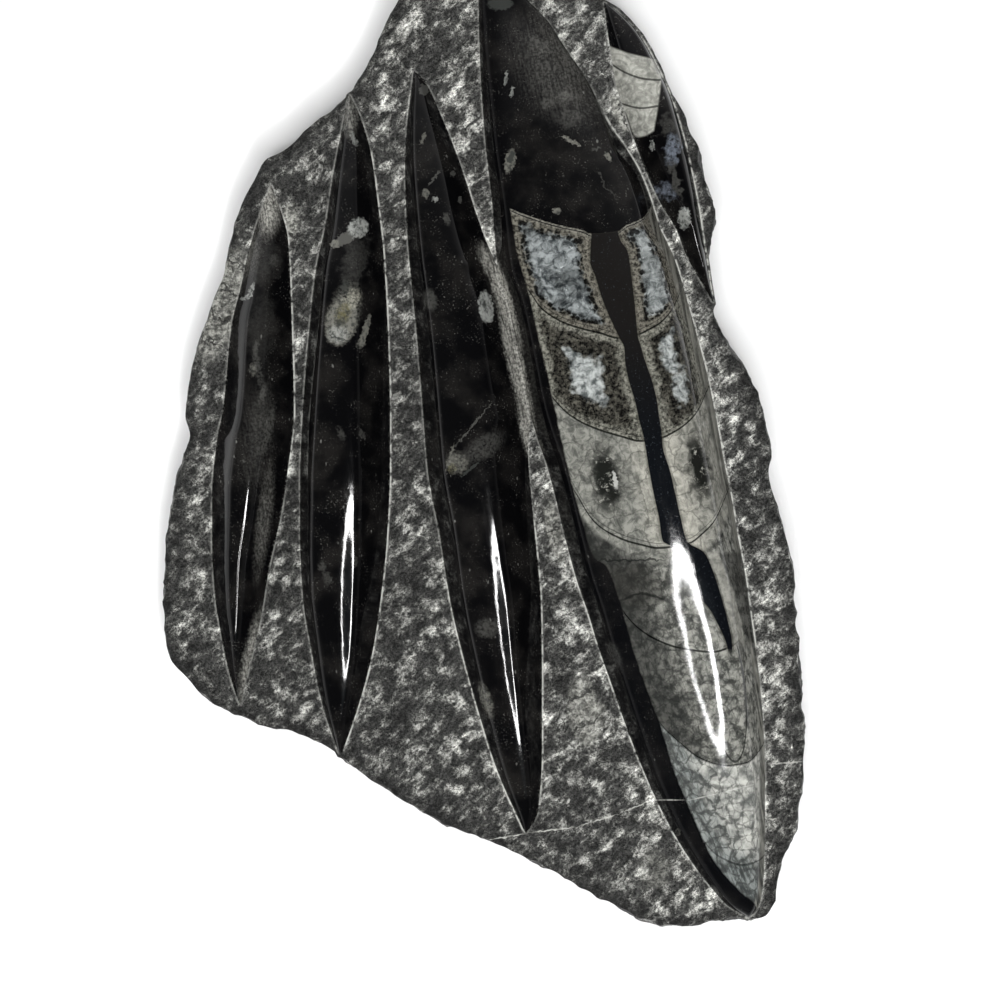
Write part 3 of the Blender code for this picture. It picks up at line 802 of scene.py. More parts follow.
class Stone(Nodes):
    """Short names for the nodes of one material."""

    def __init__(self, name):
        self.material = bpy.data.materials.new(name)
        super().__init__(self.material)
        self.shader = self.tree.nodes["Principled BSDF"]
        self.mm = self.vector("SCALE", {0: self.make("ShaderNodeTexCoord", {}, "Object"), "Scale": 1000.0})

    def vector(self, operation, inputs, out=0):
        return self.make("ShaderNodeVectorMath", inputs, out, operation=operation)

    def mix(self, share, a, b, blend="MIX"):
        a, b = (srgb(colour) if isinstance(colour, tuple) else colour for colour in (a, b))
        return self.make("ShaderNodeMix", {0: share, 6: a, 7: b}, 2, data_type="RGBA", blend_type=blend,
                         clamp_factor=True)

    def field(self, name, out="Fac"):
        return self.make("ShaderNodeAttribute", {}, out, attribute_name=name)

    def mapped(self, vector, scale, turn=0.0, middle=(0.0, 0.0, 0.0)):
        return self.make("ShaderNodeMapping", {"Vector": vector, "Location": middle, "Rotation": (0.0, 0.0, turn),
                                               "Scale": scale}, vector_type="TEXTURE")

    def stretch(self, vector, scale, turn=0.0):
        """A vector scaled along axes that are turned, so that patterns run long where the scale is small."""
        return self.mapped(vector, [1.0 / value for value in scale], turn)

    def noise(self, vector, scale, detail=2.0, rough=0.5, distortion=0.0, out="Fac"):
        return self.make("ShaderNodeTexNoise", {"Vector": vector, "Scale": scale, "Detail": detail,
                                                "Roughness": rough, "Distortion": distortion}, out)

    def cells(self, vector, scale, feature="F1"):
        return self.make("ShaderNodeTexVoronoi", {"Vector": vector, "Scale": scale}, "Distance", feature=feature)

    def warp(self, vector, scale, amount, detail=1.0):
        """A vector pushed about by noise, by up to about half the amount each way."""
        less = self.vector("SUBTRACT", {0: self.noise(vector, scale, detail, out="Color"), 1: (0.5, 0.5, 0.5)})
        return self.vector("ADD", {0: vector, 1: self.vector("MULTIPLY", {0: less, 1: (amount, amount, 0.0)})})

    def oval(self, draw, x, y, half_x, half_y, turn=0.0):
        """How far out a drawing point is in an oval: 0 at its middle, 1 on its rim. turn is in degrees."""
        inside = self.mapped(draw, (half_x, half_y, 1.0), math.radians(turn), (x, y, 0.0))
        return self.vector("LENGTH", {0: inside}, "Value")

    def along(self, draw, x, y):
        """x times the drawing's x plus y times its y."""
        return self.vector("DOT_PRODUCT", {0: draw, 1: (x, y, 0.0)}, "Value")

    def finish(self, colour, roughness, height, strength=1.0, specular=0.5):
        bump = self.make("ShaderNodeBump", {"Distance": 0.001, "Strength": strength, "Height": height})
        for key, value in (("Base Color", colour), ("Roughness", roughness), ("IOR", 1.5),
                           ("Specular IOR Level", specular), ("Normal", bump)):
            self.put(self.shader.inputs[key], value)
        return self.material


def rough_stone(s, bruise, shading, dim=1.0):
    """Colour and bump of pecked or broken limestone: dark grainy stone, crushed white in streaks where struck,
    darkened by the given painted shading, with painted light and shade on opposite sides of its streaks.
    """
    grit = s.noise(s.mm, 1.5, 3.0, 0.72)
    fine = s.noise(s.mm, 3.4, 2.0, 0.6)
    raked = s.stretch(s.mm, (0.50, 1.0, 1.0), 0.75)
    wander = s.noise(raked, 0.45, 4.0, 0.62, 0.5)
    patch = s.noise(s.mm, 0.13, 2.0, 0.5)
    mottle = s.noise(s.mm, 0.30, 3.0, 0.55, 0.4)
    tone = grit * 0.55 + fine * 0.45
    colour = s.mix(s.step(0.36, 0.66, tone), (6, 6, 6), (76, 76, 74))
    threads = abs(s.noise(raked, 0.5, 4.0, 0.62, 0.6) - 0.5)
    threads = s.step(0.15, 0.0, threads)
    # painted shade: a noise less the same noise shifted lights one side of each streak and darkens the other
    shifted = s.vector("ADD", {0: raked, 1: (0.15, -0.55, 0.0)})
    emboss_shade = s.noise(raked, 0.55, 3.0, 0.6) - s.noise(shifted, 0.55, 3.0, 0.6)
    blow = bruise * 0.62 + (wander - 0.5) * 1.9
    blow = blow + ((patch - 0.5) * 0.8 + (mottle - 0.5) * 1.3)
    blow = s.step(-0.05, 1.3, blow + threads * 0.25, smooth=False)
    worn = blow * (threads * 0.18 + 0.32 + s.step(0.38, 0.6, tone) * 0.68)
    colour = s.mix(s.step(0.08, 0.55, worn, 0.0, 0.70), colour, (112, 112, 108))
    colour = s.mix(s.step(0.24, 1.05, worn), colour, (206, 206, 200))
    # random patches of tone, times the painted shading passed in
    light = s.step(0.32, 0.68, patch, 0.82 * dim, 1.12 * dim, smooth=False) * shading
    light = light * s.step(0.34, 0.66, mottle, 0.7, 1.3, smooth=False)
    # painted light and shade on the streaks' two sides
    light = light * s.step(-0.17, 0.17, emboss_shade, 0.5, 1.5, smooth=False)
    return s.mix(1.0, colour, light, "MULTIPLY"), grit * 0.42 + fine * 0.16 + wander * 0.5


# Colours of what lies in the polished stone
PALE = (150, 152, 148)
CREAM = (168, 166, 152)
BLUISH = (150, 158, 172)
OLIVE = (88, 84, 58)
SMOKE = (74, 74, 71)
DULL = (114, 113, 106)
SOOT = (48, 50, 48)

# Scraps of shell and other fossils in each spindle, in drawing units: x, y, half width, half height, turn, colour,
# strength, and how ragged from 0 to 2: broken from the first of these on, and torn from the second.
BROKEN, TORN = 0.8, 1.3
SCRAPS = {
    "first": [
        (251, 291, 2.5, 9, 20, PALE, 0.7, 0.7), (246, 297, 6, 2, -25, PALE, 0.5, 0.7),
        (274, 260, 5, 7, 20, SMOKE, 0.5, 1.2), (256, 347, 3, 9, 12, SMOKE, 0.6, 0.9),
        (253, 369, 4, 8, 0, DULL, 0.6, 1.0), (263, 394, 3.5, 12, 14, SMOKE, 0.7, 1.0),
        (264, 262, 18, 26, 6, SMOKE, 0.30, 1.8), (262, 330, 16, 44, 4, SMOKE, 0.20, 1.9),
        (262, 420, 10, 50, 8, SMOKE, 0.22, 1.9), (258, 368, 4, 26, -10, SMOKE, 0.5, 1.2),
        (268, 430, 5, 30, 14, SMOKE, 0.5, 1.2)],
    "second": [
        (346, 238, 15, 5.5, -30, SMOKE, 1.0, 0.7), (335, 244, 4.5, 4.0, 0, DULL, 0.7, 0.7),
        (358, 228, 11, 9.5, -30, PALE, 0.95, 0.7), (355, 262, 15, 30, 14, SMOKE, 0.35, 1.6),
        (345, 312, 17, 34, 13, DULL, 0.80, 1.3), (341, 322, 15.5, 24, 13, DULL, 0.85, 0.75),
        (338, 334, 12, 10, 13, PALE, 0.75, 0.9), (352, 299, 10, 12, 30, CREAM, 0.65, 1.2),
        (343, 314, 9, 14, 20, OLIVE, 0.95, 1.1), (340, 322, 9, 5, 30, SOOT, 0.8, 1.1),
        (345, 287, 6, 8, 20, SOOT, 0.8, 1.2), (338, 338, 12, 1.3, 18, SOOT, 0.8, 0.5),
        (365, 331, 3.4, 17, 16, DULL, 0.9, 0.7), (361, 344, 5, 5, 30, DULL, 0.6, 0.8),
        (354, 139, 2.6, 8, -25, PALE, 0.5, 0.7),
        (344, 128, 2.0, 4, 10, PALE, 0.35, 0.7), (322, 566, 5, 6, 0, SMOKE, 0.5, 1.2),
        (327, 578, 5, 9, -20, SMOKE, 0.45, 1.2), (355, 562, 3.6, 5.6, 0, SMOKE, 0.5, 1.0),
        (341, 433, 4, 9, -20, SMOKE, 0.4, 1.2), (362, 434, 3, 7, -24, SMOKE, 0.5, 1.1)],
    "third": [
        (486, 307, 7.5, 16, -8, PALE, 0.9, 0.7), (484, 304, 2.6, 7, -8, SOOT, 0.8, 1.0),
        (430, 300, 8, 13, -10, SMOKE, 0.55, 0.9), (484, 447, 27, 13, -32, SMOKE, 0.45, 1.2),
        (457, 463, 13, 12, 20, DULL, 0.70, 1.0), (452, 468, 6, 5, 0, OLIVE, 0.6, 1.1),
        (450, 458, 1.6, 15, 16, DULL, 0.5, 0.7), (474, 424, 30, 0.9, -50, SMOKE, 0.7, 0.5),
        (470, 470, 12, 1.5, -40, SOOT, 0.8, 0.7), (487, 628, 14, 11, 0, SMOKE, 0.55, 1.2),
        (486, 700, 6, 21, -18, DULL, 0.7, 1.0), (424, 90, 5.0, 5.5, 0, SMOKE, 0.6, 0.7),
        (423, 138, 2.2, 6, 20, DULL, 0.5, 0.7), (426, 193, 3.8, 4.4, 0, DULL, 0.6, 0.7),
        (435, 199, 3.4, 3.0, 0, PALE, 0.6, 0.6), (447, 219, 4.0, 7, -15, SMOKE, 0.6, 0.8),
        (434, 178, 1.6, 10, 38, SMOKE, 0.6, 0.6), (453, 174, 2.4, 3, 0, SMOKE, 0.6, 0.7),
        (460, 199, 2, 4, 0, SMOKE, 0.6, 0.7)],
    "fourth": [
        (510, 161, 5.6, 11.5, 14, DULL, 0.7, 0.7), (511, 157, 3.4, 6.5, 14, SOOT, 0.95, 0.7),
        (506, 78, 1.6, 8, 6, PALE, 0.5, 0.7), (512, 92, 2.0, 6, 6, PALE, 0.5, 0.7),
        (571, 141, 11.5, 2.2, 25, DULL, 0.85, 0.7), (608, 157, 2.4, 5.5, -30, DULL, 0.8, 0.7),
        (596, 149, 6, 2.0, -14, SMOKE, 0.7, 0.8), (557, 211, 4.5, 3, 0, DULL, 0.7, 0.7),
        (566, 97, 11, 8, 0, SMOKE, 0.5, 1.5), (548, 104, 8, 6, 0, SMOKE, 0.45, 1.5),
        (570, 118, 16, 11, 0, SMOKE, 0.32, 1.9), (541, 46, 16, 8, 30, SMOKE, 0.35, 1.7),
        (606, 183, 2, 20, -35, SMOKE, 0.45, 1.4), (500, 4, 13, 6, 0, SOOT, 0.9, 0.7),
        (614, 655, 7, 16, -26, SMOKE, 0.75, 1.1), (618, 706, 5, 14, -26, SOOT, 0.7, 1.1),
        (678, 832, 3, 4, 0, DULL, 0.5, 0.7), (541, 446, 3, 8, -15, DULL, 0.5, 0.9)],
    "fifth": [
        (672, 148, 9, 20, 14, BLUISH, 0.45, 1.5), (665, 192, 12, 10, 0, BLUISH, 0.45, 1.6),
        (652, 146, 2.4, 5, 0, PALE, 0.7, 0.5), (684, 218, 6.5, 11, 2, PALE, 0.9, 0.6),
        (676, 180, 5, 24, -14, SMOKE, 0.6, 1.4), (668, 124, 10, 12, 0, SMOKE, 0.4, 1.5)],
}
# Dust ground into the polish, and painted reflection where the third and fourth meet: x, y, half sizes, turn,
# strength
DUST_AND_SHEEN = {
    "first": [(264, 520, 8, 62, 7, 0.3), (250, 660, 8, 52, 12, 0.9), (258, 440, 20, 60, 5, 0.08),
              (240, 250, 20, 36, 14, 0.3), (270, 205, 14, 34, 6, 1.2)],
    "second": [(349, 112, 10, 26, 0, 0.6)],
    # the third's entries and the fourth's first two are a painted light-grey reflection band in their meeting valley
    "third": [(488, 262, 8, 22, -24, 1.0), (502, 300, 7.5, 52, -16, 1.6), (515, 365, 7.5, 70, -13, 1.6),
              (527, 430, 7.5, 36, -12, 1.4)],
    "fourth": [(508, 300, 4.5, 52, -16, 1.4), (520, 365, 5.0, 70, -13, 1.2), (640, 160, 8, 60, -26, 0.25),
               (560, 70, 44, 70, -35, 0.16)],
    "fifth": [],
}
# Fossils in the pecked ground: x, y, half sizes, turn, strength
GROUND_FOSSILS = [(290, 222, 9, 20, 8, 0.95), (554, 530, 8, 34, -12, 0.75), (584, 712, 17, 36, -8, 0.7),
                  (222, 305, 22, 60, 18, 0.7), (600, 712, 8, 10, 0, 0.5), (655, 870, 16, 20, 0, 0.35),
                  (619, 112, 7, 22, -22, 1.0)]
GROWTH_RINGS = (310, 180)    # the middle of the growth rings in them
PALER_SLANT, PALER_FROM = -0.35, (240.0, 420.0)      # the ground grows paler to the right, across this slant
# The thin white vein across the lower end, in pieces: x, y, half sizes, turn.
VEINS = [(506, 837, 20, 0.9, -9), (552, 830, 27, 0.9, -7), (599, 820, 22, 0.9, -17), (635, 807, 18, 0.8, -22),
         (668, 800, 18, 0.8, 0), (703, 797, 18, 0.8, -13), (740, 788, 21, 0.8, -14), (786, 763, 19, 0.9, -5)]


def veins(s, colour, draw, only, strength=1.0):
    """The thin white vein that crosses the lower end."""
    faint = s.step(0.35, 0.6, s.noise(s.mm, 0.7, 2.0), 0.25, 0.8)
    for x, y, half_x, half_y, turn in only:
        vein = s.step(1.1, 0.6, s.oval(draw, x, y, half_x, half_y, turn))
        colour = s.mix(vein * (faint * strength), colour, (190, 190, 184))
    return colour


def pecked():
    """The rough ground that the point tool left between the spindles."""
    s = Stone("pecked_limestone")
    draw = s.field("draw", "Vector")
    ragged = s.warp(draw, 0.35, 7.0, 2.0)
    open_part = s.step(*PALER_FROM, s.along(draw, 1.0, PALER_SLANT))
    bruise = s.field("bruise") + open_part * 0.13
    # painted shade in the blows' pits, times the ground growing paler to the right
    light = s.field("pit_shade") * s.math("MULTIPLY_ADD", open_part, 0.26, 0.97)
    colour, height = rough_stone(s, bruise, light)
    patchy = s.step(0.36, 0.6, s.noise(s.mm, 1.1, 4.0, 0.7), 0.15, 1.0)
    growth = s.math("SINE", s.oval(s.warp(draw, 0.12, 26.0, 3.0), *GROWTH_RINGS, 1.0, 1.0) * 0.24)
    scar = s.mix(s.step(0.90, 0.985, growth), s.mix(s.step(0.4, 0.6, s.noise(s.mm, 0.8, 4.0, 0.65)),
                 (98, 98, 93), (184, 184, 176)), (48, 48, 45))
    for x, y, half_x, half_y, turn, strength in GROUND_FOSSILS:
        cover = s.step(1.15, 0.7, s.oval(ragged, x, y, half_x, half_y, turn))
        colour = s.mix(cover * strength * patchy, colour, scar)
    colour = veins(s, colour, s.warp(draw, 0.3, 3.0, 1.0), VEINS)
    broken = s.step(0.36, 0.56, s.noise(s.mm, 0.5, 3.0, 0.6))
    line = s.step(-0.6, -0.1, s.field("polish")) * broken * s.field("trim")
    colour = s.mix(line * 0.85, colour, (196, 196, 190))
    return s.finish(colour, s.step(0.3, 0.7, s.noise(s.mm, 0.5, 2.0), 0.68, 0.9), height, 0.9, 0.2)


SHINE = 0.24                 # how strongly the polish reflects
# Flanks reflect less: from and to which distance from the edge, and how strongly at the edge.
FLANK_SHINE = {"fourth": (3.0, 7.0, 0.06), "first": (1.2, 4.5, 0.07), "others": (0.8, 3.5, 0.14)}


def polished(name, inlay=None, vein=()):
    """The polished black stone of one spindle with the fossils in it."""
    s = Stone("polished_limestone_" + name)
    draw = s.field("draw", "Vector")
    edge = s.field("polish")
    ragged = s.warp(draw, 0.35, 7.0, 2.0)
    loose = s.warp(draw, 0.12, 26.0, 3.0)
    grain = s.noise(s.mm, 1.5, 3.0, 0.6)
    flaws = s.step(0.42, 0.66, s.noise(s.mm, 0.95, 4.0, 0.72), 0.08, 0.92)

    cloud = s.noise(s.mm, 0.11, 3.0, 0.55)
    colour = s.mix(s.step(0.40, 0.70, cloud), (6, 6, 7), (24, 23, 22))
    speck = s.noise(s.mm, 2.3, 2.0, 0.6)
    dusting = s.step(0.6, 0.76, speck) * s.step(0.42, 0.66, s.noise(s.mm, 0.22, 2.0))
    colour = s.mix(dusting * 0.75, colour, (96, 95, 91))
    fleck = s.step(0.13, 0.05, s.cells(s.stretch(s.warp(s.mm, 0.6, 0.8), (1.0, 0.55, 1.0), 0.12), 0.42))
    colour = s.mix(fleck * s.step(0.5, 0.62, cloud), colour, (92, 92, 89))

    for x, y, half_x, half_y, turn, tint, strength, rag in SCRAPS[name]:
        vector = loose if rag > TORN else ragged
        inside = s.step(1.12, 0.45 if rag >= BROKEN else 0.85, s.oval(vector, x, y, half_x, half_y, turn), 0.0,
                        strength)
        if rag >= BROKEN:
            inside = inside * s.step(0.5 - 0.28 / rag, 0.62, grain, 0.5 if rag > TORN else max(0.0, 1.0 - rag))
        colour = s.mix(inside, colour, tint if tint in (SOOT, SMOKE) else s.mix(flaws, tint, SOOT))

    if inlay:
        colour = inlay(s, colour, draw)

    # grey dust in the polish; along the third and fourth spindle's meeting valley the same grey is a painted
    # reflection
    streaked_cover = s.step(0.34, 0.60, s.noise(s.stretch(s.mm, (2.2, 0.16, 1.0), 0.22), 1.0, 3.0, 0.62), 0.3, 1.0)
    dust_and_sheen = 0.0
    for x, y, half_x, half_y, turn, strength in DUST_AND_SHEEN[name]:
        cover = s.step(1.25, 0.25, s.oval(ragged, x, y, half_x, half_y, turn), 0.0, strength)
        dust_and_sheen = s.math("MAXIMUM", dust_and_sheen, cover * streaked_cover, clamp=True)
    foot = s.step(0.5, 0.0, edge) * s.step(0.5, 0.7, grain)
    dust_and_sheen = s.highest(dust_and_sheen, foot * 0.4)
    colour = s.mix(dust_and_sheen, colour, s.mix(s.step(0.36, 0.64, grain), (88, 87, 83), (162, 161, 154)))
    if vein:
        colour = veins(s, colour, draw, vein, 0.6)

    smear = s.noise(s.stretch(s.mm, (1.0, 0.12, 1.0), 0.15), 0.9, 3.0, 0.6)
    gloss = s.step(0.35, 0.7, smear, 0.035, 0.085, smooth=False) + dusting * 0.1
    gloss = gloss + dust_and_sheen * 0.5
    near, far, dull = FLANK_SHINE.get(name, FLANK_SHINE["others"])
    scratch = s.noise(s.stretch(s.mm, (3.0, 0.25, 1.0), 0.2), 1.0, 2.0, 0.5) * 0.004
    dimple = s.noise(s.mm, 0.5, 1.0, 0.5) * 0.006
    if inlay is big_shell:
        dimple = dimple + s.noise(s.mm, 1.7, 3.0, 0.65) * 0.006
    return s.finish(colour, gloss, scratch + dimple, 0.9, s.step(near, far, edge, dull, SHINE))


def big_shell(s, colour, draw):
    """The big chambered shell: septa, siphuncle and the crystals that fill the chambers."""
    phase = s.field("phase")
    chamber = s.field("chamber")
    shell = s.field("shell")
    across = s.field("across")
    polish = s.field("polish")
    part = s.math("FRACT", phase)
    number = s.math("FLOOR", phase)
    down = s.along(draw, 0.0, 1.0)
    from_top = part * chamber
    from_low = (1.0 - part) * chamber
    tube = abs(across) - s.field("half")
    inner = s.math("SMOOTH_MIN", s.math("SMOOTH_MIN", from_top, from_low, 3.0), tube, 2.5)
    which_right = across > 0.0
    inner = s.math("SMOOTH_MIN", inner, s.lowest(shell + 0.6, polish - 2.2), 2.5)
    wild = s.noise(s.mm, 0.34, 5.0, 0.66)
    uneven = (wild - 0.5) * 6.5
    deep = inner + uneven
    grain = s.step(0.36, 0.64, s.noise(s.mm, 1.25, 4.0, 0.7))
    crystals = s.step(0.34, 0.66, s.noise(s.warp(s.mm, 0.35, 3.0), 0.55, 5.0, 0.68))
    cracks = s.step(0.05, 0.0, s.cells(s.warp(s.mm, 0.35, 4.0, 3.0), 0.17, "DISTANCE_TO_EDGE"))
    cloud = s.noise(s.mm, 0.17, 3.0, 0.6)

    def which(low, high):
        """1 in the chambers from low up to high."""
        return (number > low - 0.5) * (number < high + 0.5)

    # first chambers: limy rim, ring of black grains, bluish core clouded with grey
    limy = s.mix(grain, (34, 33, 29), (112, 109, 100))
    dots = s.step(0.66, 0.42, s.cells(s.warp(s.mm, 1.0, 0.9), 0.72))
    near = inner + uneven * 0.25
    band = s.step(1.5, 2.1, near) * s.step(4.2, 3.0, inner + uneven * 0.5)
    core = s.mix(crystals, (44, 48, 50), (142, 147, 147))
    core = s.mix(s.step(0.46, 0.62, cloud, 0.0, 0.9), core, s.mix(crystals, (22, 24, 25), (88, 92, 92)))
    core = s.mix(s.step(0.64, 0.72, s.noise(s.warp(s.mm, 0.3, 2.0), 0.75, 4.0, 0.65)), core, (176, 181, 180))
    core = s.mix(cracks * 0.4, core, (40, 43, 45))
    core = s.mix(which_right * 0.35, core, s.mix(crystals, (104, 109, 108), (174, 178, 176)))
    fill = s.mix(s.step(2.2, 3.4, deep + grain * 0.5), limy, core)
    fill = s.mix(band * (dots * 0.95), fill, (9, 9, 8))

    # second chambers: speckled rim, wide ragged dark band, small pale core
    speckled = s.mix(grain, (48, 48, 43), (128, 127, 118))
    murk = s.mix(grain * crystals, (12, 12, 11), (88, 86, 78))
    second = s.mix(s.step(0.9, 2.6, deep), speckled, murk)
    heart = inner + which_right * 1.1 + (uneven * 0.8 + (cloud - 0.5) * 5.0)
    second = s.mix(s.step(5.6, 7.4, heart), second, s.mix(crystals, (70, 74, 74), (168, 172, 170)))
    fill = s.mix(which(2, 2), fill, second)

    # third and fourth: grey crystals, paler by the siphuncle, cracked, with dark hearts
    lit = s.step(6.0, 0.5, tube + uneven, 0.0, 0.7) + s.step(0.0, 3.0, across, 0.0, 0.3)
    third = s.mix(crystals, (78, 79, 75), (134, 134, 127))
    third = s.mix(lit, third, s.mix(crystals, (124, 123, 115), (170, 168, 158)))
    third = s.mix(s.step(0.56, 0.70, cloud, 0.0, 0.4), third, (64, 65, 61))
    hairs = s.noise(s.stretch(s.warp(s.mm, 0.2, 2.0), (1.0, 0.16, 1.0), 0.25), 1.5, 3.0, 0.6)
    third = s.mix(s.step(0.56, 0.70, hairs, 0.0, 0.45), third, (52, 53, 50))
    third = s.mix(cracks * 0.5, third, (48, 48, 45))
    ragged = s.warp(draw, 0.10, 22.0, 4.0)
    heart = s.highest(*(s.step(1.3, 0.4, s.oval(ragged, *oval)) for oval in DARK_HEARTS))
    third = s.mix(heart * s.step(1.0, 0.35, grain * crystals), third, (24, 25, 23))
    sliver = s.step(1.2, 0.7, s.oval(s.warp(draw, 0.3, 5.0), *SLIVER))
    third = s.mix(sliver * 0.8, third, (170, 171, 166))
    fill = s.mix(which(3, 4), fill, third)

    # lower chambers: dim grey with fine upright cracks, dark by the wall, then pale with blue-grey streaks
    cloudy = s.noise(s.warp(s.mm, 0.4, 1.5), 0.42, 5.0, 0.66)
    upright = s.stretch(s.warp(s.mm, 0.5, 1.4, 3.0), (1.0, 0.45, 1.0), 0.25)
    splits = s.step(0.06, 0.0, s.cells(upright, 0.46, "DISTANCE_TO_EDGE"))
    mottled = s.mix(s.step(0.34, 0.68, cloudy), (68, 69, 66), (146, 146, 139))
    mottled = s.mix(s.step(14.0, 3.0, shell + uneven * 1.8, 0.0, 0.8), mottled, (30, 31, 30))
    gloomy = s.step(1.2, 0.5, s.oval(ragged, *GLOOM))
    mottled = s.mix(gloomy * 0.6, mottled, (36, 35, 32))
    mottled = s.mix(splits * 0.45, mottled, (30, 31, 30))
    network = s.cells(s.warp(s.mm, 0.5, 2.6, 3.0), 0.30, "DISTANCE_TO_EDGE")
    network = s.step(0.15, 0.0, network + (cloudy - 0.5) * 0.5)
    mottled = s.mix(network * 0.55, mottled, (32, 33, 31))
    mottled = s.mix(s.step(0.56, 0.70, hairs, 0.0, 0.5), mottled, (36, 37, 36))
    fill = s.mix(s.step(4.1, 4.2, phase + uneven * 0.01), fill, mottled)
    streaks = s.step(0.38, 0.62, s.noise(s.stretch(draw, (0.20, 0.05, 1.0), -0.40), 1.0, 4.0, 0.66))
    pale = cloudy * 0.5 + cloud * 0.5
    pale = s.mix(s.step(0.34, 0.62, pale), (100, 102, 99), (186, 186, 179))
    bluish = s.mix(streaks, (44, 48, 48), (118, 123, 121))
    pale = s.mix(s.step(9.5, 2.5, shell + uneven, 0.0, 0.85), pale, bluish)
    pale = s.mix(s.step(*BLUISH_LOW, down + uneven * 4.0, 0.0, 0.8), pale, bluish)
    pale = s.mix(splits * 0.5, pale, (58, 60, 59))
    pale = s.mix(network * s.step(18.0, 5.0, shell, 0.35, 0.8), pale, (52, 54, 53))
    fill = s.mix(which(6, 9), fill, pale)

    # fibres along the right edge
    fibres = s.step(0.4, 0.6, s.noise(s.stretch(draw, (0.34, 0.012, 1.0), -0.17), 1.0, 3.0, 0.6))
    wide = 2.3 + s.step(3.98, 4.15, phase, 0.0, -0.7)
    side = s.step(0.5, -0.3, polish - wide) * s.step(-2.0, 2.0, across)
    fill = s.mix(side * 0.8, fill, s.mix(fibres, (54, 54, 51), (122, 121, 114)))

    below_first = phase > 1.0
    colour = s.mix(s.step(*BLACK_BESIDE, down) * 0.5, colour, (8, 9, 11))
    edge = s.step(-0.25, 0.3, shell + uneven * 0.12)
    colour = s.mix(edge * below_first, colour, fill)

    # septa: dark lines, fainter ones just above them, the first with a thick limy lip
    strong = which(1, 5) * 0.92 + which(6, 8) * 0.6
    upper = s.step(0.2, 0.09, abs(from_low - 1.15)) * which(1, 3)
    line = s.highest(s.step(0.34, 0.18, s.lowest(from_top, from_low)), upper * 0.55)
    colour = s.mix(line * edge * strong, colour, (12, 13, 12))
    lip = s.step(1.25, 1.0, from_top) * which(1, 1) * edge
    colour = s.mix(lip * 0.85, colour, s.mix(grain, (66, 65, 60), (124, 122, 114)))
    lip_line = lip * s.step(0.18, 0.08, abs(from_top - 0.6))
    colour = s.mix(lip_line, colour, (16, 16, 15))

    # siphuncle: a black tube with a thin limy wall and a few bluish specks that are painted glints
    ends = s.step(*TUBE_END, down, 1.0, 0.0) * s.step(0.98, 1.0, phase)
    tube_wall = s.step(0.6, 0.25, tube) * ends
    colour = s.mix(tube_wall * 0.45, colour, (66, 64, 57))
    # painted glints: small bluish specks on the black
    blue_glints = s.step(0.62, 0.80, s.noise(s.mm, 1.9, 2.0, 0.7), 0.0, 0.5)
    black = s.mix(s.step(*TUBE_BLACK, down), (22, 21, 20), (11, 13, 16))
    black = s.mix(blue_glints, black, (84, 90, 96))
    colour = s.mix(s.step(0.1, -0.16, tube) * ends, colour, black)

    # pale column beside the tube's lower end, the long hooked line below it, a crack and an arc
    beside = tube + uneven * 0.2
    rows = s.step(*COLUMN_TOP, down) * s.step(*COLUMN_END, down, 1.0, 0.0) * which_right
    colour = s.mix(rows * s.step(2.9, 3.6, beside, 0.0, 0.75), colour, (40, 40, 38))
    column = rows * s.step(3.5, 2.9, beside) * s.step(0.2, 0.5, beside)
    colour = s.mix(column * 0.75, colour, s.mix(crystals, (104, 104, 98), (156, 155, 147)))
    hook = abs(s.oval(draw, *HOOK) - 1.0)
    hook = s.step(1.7, 0.8, hook * s.oval(draw, *HOOK[:2], 1.0, 1.0))
    shown = s.highest(s.step(*HOOK_LOW, down), s.step(*HOOK_RIGHT, s.along(draw, 1.0, HOOK_SLANT)))
    hook = hook * shown * s.step(*HOOK_TOP, down)
    colour = s.mix(hook * 0.85, colour, (20, 21, 20))
    crack = s.step(1.1, 0.7, s.oval(s.warp(draw, 0.2, 6.0), *CRACK))
    arc = abs(s.oval(s.warp(draw, 0.15, 5.0), *ARC) - 1.0)
    arc = s.step(0.08, 0.03, arc) * s.step(*ARC_ENDS, down, 1.0, 0.0)
    return s.mix(s.highest(crack, arc) * 0.8, colour, (22, 23, 22))


def small_shell(s, colour, draw):
    """The small clean shell in the fifth spindle."""
    phase = s.field("phase")
    chamber = s.field("chamber")
    shell = s.field("shell")
    part = s.math("FRACT", phase)
    gap = s.lowest(part * chamber, (1.0 - part) * chamber)
    crystals = s.step(0.34, 0.66, s.noise(s.warp(s.mm, 0.5, 1.6), 0.55, 4.0, 0.6))
    fill = s.mix(crystals, (122, 122, 116), (172, 172, 164))
    whorl = s.math("SINE", s.cells(draw, 0.04) * 26.0)
    fill = s.mix(s.step(0.3, 0.9, whorl) * 0.35, fill, (90, 92, 88))
    fill = s.mix(s.step(0.34, 0.16, gap) * 0.85, fill, (30, 31, 29))
    colour = s.mix(s.step(-0.12, 0.12, shell), colour, fill)
    return s.mix(s.step(0.28, 0.12, abs(shell)) * 0.5, colour, (60, 60, 56))


def broken_side():
    """The chipped walls."""
    s = Stone("broken_limestone")
    blows = s.step(0.62, 0.30, s.cells(s.mm, 0.17))
    colour, height = rough_stone(s, blows * 0.5, 1.0, 0.9)
    return s.finish(colour, s.step(0.3, 0.7, s.noise(s.mm, 0.4, 2.0), 0.66, 0.85), height * 1.2, 1.0)


